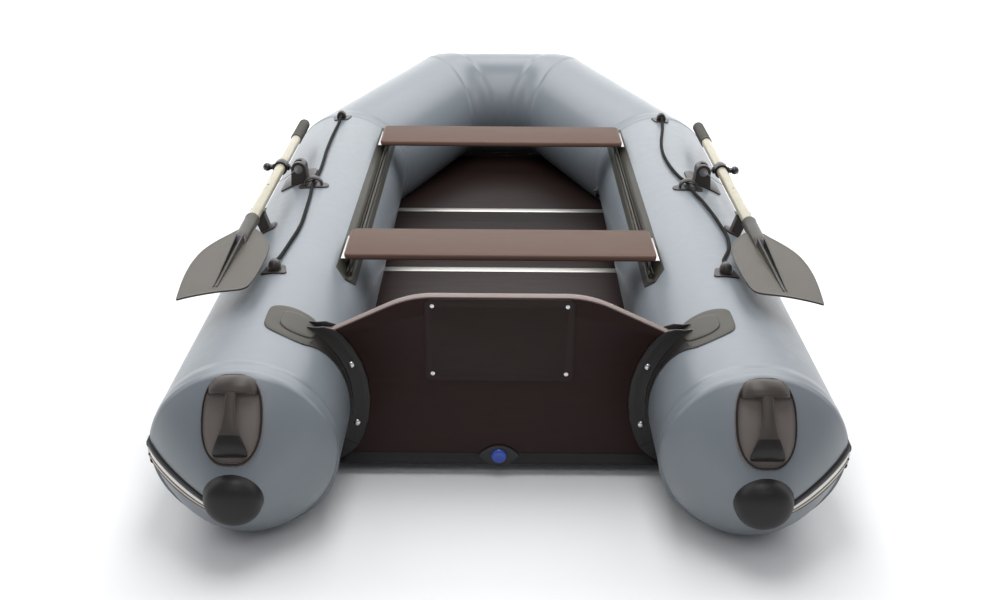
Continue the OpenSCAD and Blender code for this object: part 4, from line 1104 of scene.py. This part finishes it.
wing = over_hoops("wing", wing_hoops(WING_SECTIONS, 0.0004, 0.0028))
ARCH_SECTIONS = [
    (38, -34, 34), (34, -46, 42), (29, -54, 50), (24, -55, 54), (19, -50, 52), (15.5, -38, 44),
    (13.4, -22, 34),
]  # fmt: skip
arch = over_hoops("arch", wing_hoops(ARCH_SECTIONS, 0.0026, 0.0058))
for part in (wing, arch):
    refine(part)
for part in (holder, holder_foot, wing, arch):
    smooth(part, 50)
holder_black = moulded_rubber("moulded_pvc_black", "#232120", "#2D2A28", 0.34, 0.0016)
wing_olive = moulded_rubber("moulded_pvc_olive", "#35322A", "#403C32", 0.46, 0.0018)
for part, rubber in ((holder, 0), (holder_foot, 0), (wing, 1), (arch, 1)):
    part.data.materials.append(holder_black)
    part.data.materials.append(wing_olive)
    for face in part.data.polygons:
        face.material_index = rubber
holders = joined("transom_holder_mouldings", [holder, holder_foot, wing, arch])
twin = across_boat(holders)
holders = joined("transom_holder_mouldings", [holders, twin])
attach(holders, "hull")
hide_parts("transom_holders")

# ---------------------------------------------------------------- drain
# A moulded flange with pointed ends round a drain through the board, closed by a blue plug.

abs_black, _ = finish_named("moulded_abs_black", "#1A1B1E", 0.38)
drain_ring = soft_copy("drain_flange", "drain_flange_moulding", 0.0009, 3)
blue_plug, _ = finish_named("moulded_polypropylene_blue", "#2447A8", 0.22, Coat_Weight=0.4)


def moulded_plastic(material, grain, strength):
    """Spark-eroded mould texture: fine pits over a low mottle of gloss."""
    shader = material.node_tree.nodes["Principled BSDF"]
    place = node(material, "TexCoord").outputs["Object"]
    pits = node(material, "TexNoise", {"Vector": place, "Scale": 1 / grain, "Detail": 3.0})
    base = shader.inputs["Roughness"].default_value
    gloss = node(
        material,
        "MapRange",
        {"Value": pits.outputs["Fac"], "To Min": base - 0.06, "To Max": base + 0.1},
    )
    material.node_tree.links.new(gloss.outputs["Result"], shader.inputs["Roughness"])
    texture = node(
        material,
        "Bump",
        {"Height": pits.outputs["Fac"], "Strength": strength, "Distance": 0.0004},
    )
    material.node_tree.links.new(texture.outputs["Normal"], shader.inputs["Normal"])
    return material


dress(drain_ring, moulded_plastic(abs_black, 0.0012, 0.25), replaces=["drain_flange"])
plug = soft_copy("drain_plug", "drain_plug_moulding", 0.0005, 2, 40)
dress(plug, moulded_plastic(blue_plug, 0.004, 0.05), "drain_stopper", ["drain_plug"])

# ---------------------------------------------------------------- seat rails and seats
# Extruded rubber rails, glued to the tubes' inner sides, hold a bead on each seat's runner.
# The seats are plywood planks under brown film, rounded over along their edges.

rail_rubber = moulded_rubber("extruded_pvc_olive", "#2C2A22", "#38352B", 0.46, 0.0018)
RAIL_ANGLE, RAIL_HALF = 47.0, 10.3
RAIL_Y = (0.425, 1.825)
# Across the rail: degrees from its middle, height in mm
RAIL_SECTION = [(-10.3, 0.4), (-10.0, 2.0), (-6.5, 2.6), (-5.2, 3.4), (-4.6, 2.8), (4.6, 2.8)]
RAIL_SECTION += [(5.2, 3.4), (6.5, 2.6), (10.0, 2.0), (10.3, 0.4)]


def rail_hoop(y, share):
    return [round_tube(RAIL_ANGLE + a * share, y, h / 1000) for a, h in RAIL_SECTION]


rail_ends = [(RAIL_Y[0] - 0.028, 0.06), (RAIL_Y[0] - 0.014, 0.5), (RAIL_Y[0] + 0.004, 0.98)]
rail_ends += [(RAIL_Y[0] + 0.03 + 0.07 * k, 1.0) for k in range(20)]
rail_ends += [(RAIL_Y[1] - 0.006, 1.0), (RAIL_Y[1], 0.95)]
rail = over_hoops("rail", [rail_hoop(y, share) for y, share in rail_ends])
CHANNEL_X, CHANNEL_Z = 0.3864, 0.3432
CHANNEL_R, CHANNEL_BORE, SLOT_HALF = 0.008, 0.005, 0.0025
section = []
slot_turn = math.asin(SLOT_HALF / CHANNEL_R)
bore_turn = math.asin(SLOT_HALF / CHANNEL_BORE)
for i in range(25):
    a = math.pi / 2 + slot_turn + (2 * math.pi - 2 * slot_turn) * i / 24
    section.append((CHANNEL_R * math.cos(a), CHANNEL_R * math.sin(a)))
for i in range(17):
    a = math.pi / 2 - bore_turn - (2 * math.pi - 2 * bore_turn) * i / 16
    section.append((CHANNEL_BORE * math.cos(a), CHANNEL_BORE * math.sin(a)))
channel = over_hoops(
    "channel",
    [
        [hull(CHANNEL_X + x, y, CHANNEL_Z + z) for x, z in section]
        for y in (RAIL_Y[0], RAIL_Y[0] + 0.002, RAIL_Y[1] - 0.002, RAIL_Y[1])
    ],
)
smooth(rail, 40)
smooth(channel, 40)
rail = joined("seat_rail_strips", [rail, channel])
rail = joined("seat_rail_strips", [rail, across_boat(rail)])
dress(rail, rail_rubber, replaces=["seat_rails"])

seat_film = film_plywood("phenolic_film_plywood_brown", "#4B3427", "#553D2F", 0.55)
seat_edge = film_plywood("rounded_plywood_edge", "#6B5147", "#775D53", 0.5)
steel_strip = milled_metal("zinc_plated_steel", "#B9B9B7", 0.34, (2, 30, 30))
for which in ("aft", "forward"):
    seat = soft_copy(which + "_seat", which + "_bench_seat", 0.0065, 5, 50)
    seat.data.materials.append(seat_film)
    seat.data.materials.append(seat_edge)
    for face in seat.data.polygons:
        face.material_index = 1 if abs(face.normal.z) < 0.93 else 0
    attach(seat, which + "_seat_assembly")
    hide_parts(which + "_seat")
    runners = soft_copy(which + "_seat_runners", which + "_seat_runner_strips", 0.0004, 2)
    dress(
        runners, steel_strip, which + "_seat_assembly", [which + "_seat_runners"]
    )

# ---------------------------------------------------------------- rope fittings
# Moulded rubber on the tubes' tops: at each end of a rope a dome on a four-sided plate, and
# half way an arch that it passes under.

fitting_rubber = moulded_rubber("moulded_epdm_fittings", "#262220", "#332E2B", 0.34, 0.0014)


def on_skin(y, angle, x, forward, height):
    """A point over the starboard tube: x outboard along the skin from angle, in metres."""
    return round_tube(-angle - math.degrees(x / TUBE_R), y + forward, height)


def skin_patch(name, outline, y, angle, thick, crown=0.0):
    """A flexible plate moulded to the tube, from its outline of (outboard, forward) points."""
    levels = [(0.03, 0.0004), (0.6, 0.0004), (1.0, 0.0004), (1.0, thick * 0.55)]
    levels += [(0.985, thick * 0.92), (0.955, thick)]
    levels += [(s, thick + crown * (1 - s)) for s in (0.8, 0.6, 0.4, 0.2, 0.03)]
    cx = sum(p[0] for p in outline) / len(outline)
    cy = sum(p[1] for p in outline) / len(outline)
    return over_hoops(
        name,
        [
            [on_skin(y, angle, cx + (u - cx) * s, cy + (v - cy) * s, h) for u, v in outline]
            for s, h in levels
        ],
    )


def four_sided(aft_w, fore_w, length, corner, each=5):
    """A rounded outline, aft_w and fore_w wide at its ends."""
    points = []
    corners = ((1, 1, fore_w), (-1, 1, fore_w), (-1, -1, aft_w), (1, -1, aft_w))
    for k, (sx, sy, w) in enumerate(corners):
        cx, cy = sx * (w / 2 - corner), sy * (length / 2 - corner)
        for i in range(each):
            a = math.pi / 2 * (k + i / (each - 1))
            points.append((cx + corner * math.cos(a), cy + corner * math.sin(a)))
    # short steps along the straight sides keep the plate round the tube
    dense = []
    for a, b in zip(points, points[1:] + points[:1]):
        parts = max(1, round(math.dist(a, b) / 0.008))
        dense += [
            (a[0] + (b[0] - a[0]) * k / parts, a[1] + (b[1] - a[1]) * k / parts)
            for k in range(parts)
        ]
    return dense


def oval(w, length, count=40, power=1.0):
    points = []
    for i in range(count):
        a = 2 * math.pi * i / count
        c, s = math.cos(a), math.sin(a)
        points.append(
            (
                w / 2 * math.copysign(abs(c) ** power, c),
                length / 2 * math.copysign(abs(s) ** power, s),
            )
        )
    return points


def end_dome(name, y, angle, facing):
    """A bullet-shaped hood, open towards the rope, on a plate that is wider at its back."""
    back, front = (0.064, 0.050) if facing > 0 else (0.050, 0.064)
    plate = skin_patch(name + "_plate", four_sided(back, front, 0.058, 0.010), y, angle, 0.0034)
    hoops = []
    for k in range(11):
        a = math.pi / 2 * k / 10
        # from the rounded back over the crown to the mouth
        reach = -0.0190 + 0.0350 * k / 10
        radius = 0.0158 * math.sqrt(max(0.0, 1 - ((5 - k) / 5.2) ** 2)) if k < 5 else 0.0158
        radius -= 0.0010 * max(0, k - 5) / 5
        hoop = []
        for i in range(24):
            t = math.pi * i / 23
            x = max(radius, 0.002) * math.cos(t)
            h = 0.002 + max(radius, 0.002) * 1.62 * math.sin(t) ** 0.9
            hoop.append(on_skin(y, angle, x, facing * reach, h))
        hoops.append(hoop)
    hood = over_hoops(name + "_hood", hoops)
    refine(hood)
    smooth(hood, 60)
    smooth(plate, 40)
    return joined(name, [plate, hood])


def rope_arch(name, y, angle):
    """A half dome over the rope, open fore and aft, with an oval foot."""
    foot = skin_patch(name + "_foot", oval(0.090, 0.054, 44, 0.8), y, angle, 0.0036, 0.0)
    hoops = []
    section = [(-0.0130, 0.0), (-0.0140, 0.0015), (-0.0120, 0.0045), (-0.0060, 0.0062)]
    section += [(0.0060, 0.0062), (0.0120, 0.0045), (0.0140, 0.0015), (0.0130, 0.0)]
    for i in range(25):
        t = math.pi * i / 24
        ring = []
        for forward, out in section:
            r = 0.0195 + out
            tall = 1.0 if 0 < i < 24 else 1.0
            ring.append(
                on_skin(y, angle, r * math.cos(t) * 1.06, forward, 0.0030 + r * math.sin(t) * tall)
            )
        hoops.append(ring)
    span = over_hoops(name + "_span", hoops)
    refine(span)
    smooth(span, 60)
    smooth(foot, 40)
    return joined(name, [foot, span])


ROPE_PLACES = ((0.300, 4, 1), (1.003, 3, 0), (1.800, 5, -1))
fittings = []
for k, (y, angle, facing) in enumerate(ROPE_PLACES):
    name = f"fitting_{k}"
    fittings.append(end_dome(name, y, angle, facing) if facing else rope_arch(name, y, angle))
fittings = joined("rope_fitting_mouldings", fittings)
fittings = joined("rope_fitting_mouldings", [fittings, across_boat(fittings)])
dress(fittings, fitting_rubber, replaces=["rope_holders"])

# ---------------------------------------------------------------- oarlocks
# A block of hard rubber on a glued patch holds a steel barrel that turns along the boat.
# The barrel's pin passes through the oar's collar and ends in a ball cap, kept by a wire.

LOCK = Vector((0.600, 1.068, 0.436))
PIN_REACH = 0.055
LOCK_LEN, LOCK_R, BARREL_R = 0.052, 0.021, 0.013
lock_rubber = moulded_rubber("moulded_epdm_oarlock", "#2A2523", "#38332F", 0.38, 0.0014)
patch_olive = moulded_rubber("cast_pvc_patch", "#3A362F", "#454038", 0.46, 0.0018)
lean = math.degrees(math.asin((LOCK.x - HALF_BEAM) / TUBE_R))
lock_patch = skin_patch(
    "lock_patch", four_sided(0.106, 0.098, 0.142, 0.024), LOCK.y + 0.040, lean + 3, 0.0036
)
lock_block = soft_copy("oarlock_bases", "oarlock_blocks", 0.0016, 3, 28)
edit(lock_block, "DESELECT")
work = bmesh.from_edit_mesh(lock_block.data)
for v in work.verts:
    v.select = v.co.x < 0 or (v.co - hull(0.6, 1.068, v.co.z)).length > 10
bmesh.update_edit_mesh(lock_block.data)
bpy.ops.mesh.delete(type="VERT")
close_edit()
smooth(lock_patch, 40)
lock = joined("oarlock_mouldings", [lock_block, lock_patch])
lock = joined("oarlock_mouldings", [lock, across_boat(lock)])
dress(lock, lock_rubber, replaces=["oarlock_bases"])

pin_steel = milled_metal("turned_stainless_steel", "#8E8E90", 0.28, (30, 4, 30))
ball_plastic, _ = finish_named("moulded_nylon_black", "#141416", 0.18, Coat_Weight=0.5)
moulded_plastic(ball_plastic, 0.003, 0.05)
spring_wire, _ = finish_named("stainless_spring_wire", "#9A9A9C", 0.3, 1.0)
for side, name in ((1, "starboard"), (-1, "port")):
    yoke = soft_copy(name + "_yoke", name + "_oarlock_pin", 0.0005, 2, 40)
    dress(yoke, pin_steel, name + "_oarlock", [name + "_yoke"])
    cap_of_pin = soft_copy(name + "_ball_cap", name + "_pin_ball", 0.0006, 2, 40)
    dress(cap_of_pin, ball_plastic, name + "_oarlock", [name + "_ball_cap"])
    # thin wire that keeps the ball: from its foot out and down in a loop to the barrel's end
    loop = [
        (0.1085, 0.000, -0.001), (0.104, -0.006, -0.014), (0.094, -0.016, -0.028),
        (0.078, -0.026, -0.036), (0.058, -0.033, -0.034), (0.036, -0.036, -0.022),
        (0.020, -0.034, -0.010), (0.010, -0.0275, -0.002), (0.004, -0.0262, 0.0),
    ]  # fmt: skip
    line = smooth_line(
        [hull(side * (LOCK.x + x), LOCK.y + y, LOCK.z + z) for x, y, z in loop], 0.003
    )
    hoops = []
    for k, p in enumerate(line):
        ahead = (line[min(k + 1, len(line) - 1)] - line[max(k - 1, 0)]).normalized()
        across = ahead.cross(Vector((0, 0.3, 1))).normalized()
        up = across.cross(ahead)
        hoops.append(
            [
                p + 0.0008 * (math.cos(a) * across + math.sin(a) * up)
                for a in (math.pi / 4 * i for i in range(8))
            ]
        )
    wire = over_hoops(name + "_keeper_wire", hoops)
    smooth(wire, 80)
    dress(wire, spring_wire, name + "_oarlock")

# ---------------------------------------------------------------- oars
# Aluminium tubes with a baked cream lacquer, in two lengths that a spigot joins. The blade is
# moulded nylon with a socket; a sprung button holds it. The grip is a dipped foam-like rubber.

SHAFT_R = 0.015
OAR_X, OAR_Z = LOCK.x + PIN_REACH, LOCK.z
lacquer, lacquer_shader = finish_named("baked_lacquer_cream", "#CDC6AC", 0.34, Coat_Weight=0.3)
lacquer_place = node(lacquer, "TexCoord").outputs["Object"]
dust = node(lacquer, "TexNoise", {"Vector": lacquer_place, "Scale": 26.0, "Detail": 5.0})
aged = node(
    lacquer,
    "Mix",
    {"Factor": dust.outputs["Fac"], "A": linear("#978F75"), "B": linear("#A59E86")},
    data_type="RGBA",
)
lacquer.node_tree.links.new(aged.outputs["Result"], lacquer_shader.inputs["Base Color"])
orange_peel = node(
    lacquer, "Bump", {"Height": dust.outputs["Fac"], "Strength": 0.06, "Distance": 0.0004}
)
lacquer.node_tree.links.new(orange_peel.outputs["Normal"], lacquer_shader.inputs["Normal"])

grip_rubber = moulded_rubber("dipped_rubber_grip", "#2F2D26", "#3A382F", 0.55, 0.0022)
collar_rubber = moulded_rubber("moulded_nylon_collar", "#191818", "#232121", 0.32, 0.0016)
blade_nylon = moulded_rubber("moulded_nylon_olive", "#3D372D", "#474136", 0.40, 0.0016)
socket_nylon = moulded_rubber("moulded_nylon_dark_olive", "#2A261D", "#343026", 0.34, 0.0016)
rib_nylon = moulded_rubber("moulded_nylon_black", "#1B1A16", "#26241E", 0.34, 0.0016)

# painted highlight: the socket's slanted end face, turned up and aft towards the lamps, gets this paler tone
socket_painted_highlight = moulded_rubber("moulded_nylon_painted_highlight", "#5F5860", "#6A626A", 0.30, 0.0016)
SOCKET_RIM = 0.578
BLADE_OUTLINE = [
    (-18, 505), (-36, 482), (-50, 455), (-63, 430), (-73, 405), (-80, 373), (-83, 340),
    (-85, 305), (-85, 270), (-84, 230), (-83, 190), (-81, 153), (-78, 118), (-75, 98), (-69, 82),
    (-58, 73), (-45, 68), (-22, 61), (0, 52), (22, 41), (45, 28), (60, 18), (70, 9), (73, 9),
    (76, 35), (82, 90), (87, 145), (90, 200), (90, 240), (89, 270), (86, 305), (82, 335),
    (73, 370), (62, 400), (49, 432), (34, 460), (18, 505), (0, 512),
]  # fmt: skip
# From the underside's middle over the edge's rolled rim to the upper face: share, mm from mid
BLADE_LEVELS = [
    (0.04, -1.4), (0.4, -1.6), (0.8, -1.9), (0.955, -2.0), (0.985, -1.9), (1.0, -0.8),
    (1.0, 0.9), (0.986, 2.2), (0.965, 2.4), (0.945, 2.2), (0.925, 1.4), (0.8, 1.3), (0.4, 1.4),
    (0.04, 1.4),
]  # fmt: skip


def blade_section(share, height, side):
    """One hoop of the blade: the outline drawn in from the edge, on a gently dished sheet."""
    hoop = []
    for u, y in BLADE_OUTLINE:
        inset = (1 - share) * 85
        du, dy = u - 0, y - 270
        far = math.hypot(du, dy)
        k = max(0.02, 1 - inset / far) if share > 0.9 else share
        uu, yy = du * k, 270 + dy * k
        dish = 5.0 * (1 - (uu / 92) ** 2) - 5.0
        hoop.append(
            hull(side * (OAR_X + uu / 1000), yy / 1000, OAR_Z + (height + 0.35 * dish) / 1000)
        )
    return hoop


def blade_rim(point, side):
    """Whether a face lies in the rolled rim, about 5 mm wide, of the outline above."""
    u, y = (side * point.x - OAR_X) * 1000, (point.y - TRANSOM_Y) * 1000
    best = 1e9
    for (u0, y0), (u1, y1) in zip(BLADE_OUTLINE, BLADE_OUTLINE[1:] + BLADE_OUTLINE[:1]):
        length = math.hypot(u1 - u0, y1 - y0)
        t = max(0, min(1, ((u - u0) * (u1 - u0) + (y - y0) * (y1 - y0)) / length**2))
        best = min(best, math.hypot(u - u0 - t * (u1 - u0), y - y0 - t * (y1 - y0)))
    return best < 2.6


def on_oar(side, x, y, z):
    return hull(side * (OAR_X + x), y, OAR_Z + z)


def oar_axis(side, y):
    """Local Z along the oar towards the blade, from y forward of the transom."""
    return placed(
        hull(side * OAR_X, y, OAR_Z), Vector((1, 0, 0)), Vector((0, 0, 1)), Vector((0, -1, 0))
    )


for side, name in ((1, "starboard"), (-1, "port")):
    body = name + "_oar"
    # grip: a sleeve with shallow rings and a rounded end
    grip_profile = [(0.0, 0.0), (0.008, 0.0004), (0.013, 0.002), (0.0165, 0.006), (0.018, 0.011)]
    for k in range(16):
        y0 = 0.018 + k * 0.0112
        grip_profile += [(0.0181, y0), (0.0174, y0 + 0.0022), (0.0174, y0 + 0.0030)]
    grip_profile += [(0.0181, 0.200), (0.0176, 0.2042), (0.0160, 0.2050), (0.0151, 0.2050)]
    grip_profile += [(0.0151, 0.012), (0.0, 0.012)]
    grip = spun(name + "_oar_grip", grip_profile, 40, oar_axis(side, 1.580))
    smooth(grip, 35)
    dress(grip, grip_rubber, body, [name + "_grip"])

    for part, low, high in (("upper", 0.803, 1.568), ("lower", 0.418, 0.803)):
        tube_profile = [
            (0.0121, 0.0), (0.0144, 0.0), (SHAFT_R, 0.0007), (SHAFT_R, high - low - 0.0007),
            (0.0144, high - low), (0.0121, high - low),
        ]  # fmt: skip
        tube = spun(name + "_" + part + "_tube", tube_profile, 48, oar_axis(side, high))
        smooth(tube, 35)
        if part == "upper":
            # a black rivet in the hole above the joint
            rivet = spun(
                "rivet",
                [(0.0, 0.0007), (0.002, 0.0006), (0.0032, 0.0), (0.0032, -0.002), (0.0, -0.002)],
                20,
                placed(
                    on_oar(side, 0.0, 0.841, SHAFT_R), Vector((1, 0, 0)), Vector((0, 1, 0)),
                    Vector((0, 0, 1)),
                ),
            )  # fmt: skip
            tube.data.materials.append(lacquer)
            rivet.data.materials.append(lacquer)
            rivet.data.materials.append(collar_rubber)
            for face in rivet.data.polygons:
                face.material_index = 1
            tube.data.materials.append(collar_rubber)
            tube = joined(name + "_upper_tube", [tube, rivet])
            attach(tube, body)
            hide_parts(name + "_upper_shaft")
        else:
            dress(tube, lacquer, body, [name + "_lower_shaft"])

    collar = soft_copy(name + "_oar_collar", name + "_pin_collar", 0.0014, 3, 30)
    dress(collar, collar_rubber, body, [name + "_oar_collar"])

    sheet = over_hoops(name + "_blade_sheet", [blade_section(s, h, side) for s, h in BLADE_LEVELS])
    edit(sheet)
    bpy.ops.mesh.normals_make_consistent(inside=False)
    close_edit()
    refine(sheet)
    smooth(sheet, 40)
    # the socket tapers from its rolled rim and ends in a slanted face over the blade
    socket_stations = [
        (SOCKET_RIM, 0.0192, 0.0), (SOCKET_RIM - 0.003, 0.0200, 0.0),
        (SOCKET_RIM - 0.007, 0.0196, 0.0), (SOCKET_RIM - 0.012, 0.0188, 0.0),
        (0.520, 0.0185, 0.0), (0.470, 0.0182, 0.0), (0.430, 0.0180, 0.10),
    ]  # fmt: skip
    hoops = [[on_oar(side, 0.0151 * math.cos(a), SOCKET_RIM - 0.01, 0.0151 * math.sin(a))
              for a in (2 * math.pi * i / 40 for i in range(40))]]  # fmt: skip
    hoops.append([on_oar(side, 0.0153 * math.cos(a), SOCKET_RIM, 0.0153 * math.sin(a))
                  for a in (2 * math.pi * i / 40 for i in range(40))])  # fmt: skip
    for y, radius, _ in socket_stations:
        hoops.append([on_oar(side, radius * math.cos(a), y, radius * math.sin(a))
                      for a in (2 * math.pi * i / 40 for i in range(40))])  # fmt: skip
    slant = 0.62
    for shrink, push in ((1.0, 0.0), (0.93, 0.0016), (0.5, 0.0018)):
        ring = []
        for i in range(40):
            a = 2 * math.pi * i / 40
            x, z = 0.0180 * shrink * math.cos(a), 0.0180 * shrink * math.sin(a)
            ring.append(on_oar(side, x, 0.392 + slant * z - push, z))
        hoops.append(ring)
    socket = over_hoops(name + "_socket", hoops)
    smooth(socket, 35)
    # two ribs that start in the slanted face and run out to a point near the blade's end
    rib_parts = []
    for lean_x in (-1, 1):
        rib_hoops = []
        for k in range(15):
            t = k / 14
            y = 0.402 - 0.315 * t
            x = lean_x * (0.0085 - 0.0048 * t)
            tall = 0.0170 * (1 - t) ** 1.1 + 0.0030
            thick = 0.0036 * (1 - 0.35 * t)
            rib_hoops.append(
                [
                    on_oar(side, x - thick, y, -0.001), on_oar(side, x - thick * 0.8, y, tall * 0.6),
                    on_oar(side, x - thick * 0.5, y, tall), on_oar(side, x + thick * 0.5, y, tall),
                    on_oar(side, x + thick * 0.8, y, tall * 0.6), on_oar(side, x + thick, y, -0.001),
                ]
            )  # fmt: skip
        rib_part = over_hoops("rib", rib_hoops)
        smooth(rib_part, 40)
        rib_parts.append(rib_part)
    rim = [f for f in sheet.data.polygons if blade_rim(f.center, side)]
    for part, colour in ((sheet, 0), (socket, 1), (rib_parts[0], 2), (rib_parts[1], 2)):
        for m in (blade_nylon, socket_nylon, rib_nylon, socket_painted_highlight):
            part.data.materials.append(m)
        for face in part.data.polygons:
            # painted highlight on the socket's faces that face up and aft
            slanted = part is socket and face.normal.y < -0.4 and face.normal.z > 0.3
            face.material_index = 3 if slanted else colour
    for face in rim:
        face.material_index = 2
    blade = joined(name + "_oar_blade", [sheet, socket, *rib_parts])
    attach(blade, body)
    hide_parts(name + "_blade")

    button = soft_copy(name + "_snap_button", name + "_spring_button", 0.0006, 2)
    dress(button, collar_rubber, name + "_button", [name + "_snap_button"])

# ---------------------------------------------------------------- oar clips
# Moulded rubber hooks on small glued feet, which hold the shafts along the tubes.

clips = soft_copy("oar_clips", "oar_clip_mouldings", 0.0012, 3, 30)
dress(clips, lock_rubber, replaces=["oar_clips"])

# ---------------------------------------------------------------- valves and tow ring
# Screw-capped air valves on the tubes' inner sides, and under the bow a steel ring in a patch.

for cad_name, name, body, width in (
    ("valve_bodies", "air_valve_flanges", "hull", 0.0008),
    ("port_valve_cap", "port_valve_lid_moulding", "port_valve_lid", 0.0006),
    ("starboard_valve_cap", "starboard_valve_lid_moulding", "starboard_valve_lid", 0.0006),
    ("bow_valve_cap", "bow_valve_lid_moulding", "bow_valve_lid", 0.0006),
):
    fitting = soft_copy(cad_name, name, width, 2)
    dress(fitting, abs_black, body, [cad_name])
tow_base = soft_copy("tow_patch", "tow_ring_patch", 0.0012, 3)
dress(tow_base, wing_olive, replaces=["tow_patch"])
tow = soft_copy("tow_ring", "tow_ring_forging", 0.0003, 1, 60)
dress(tow, polished, "tow_loop", ["tow_ring"])
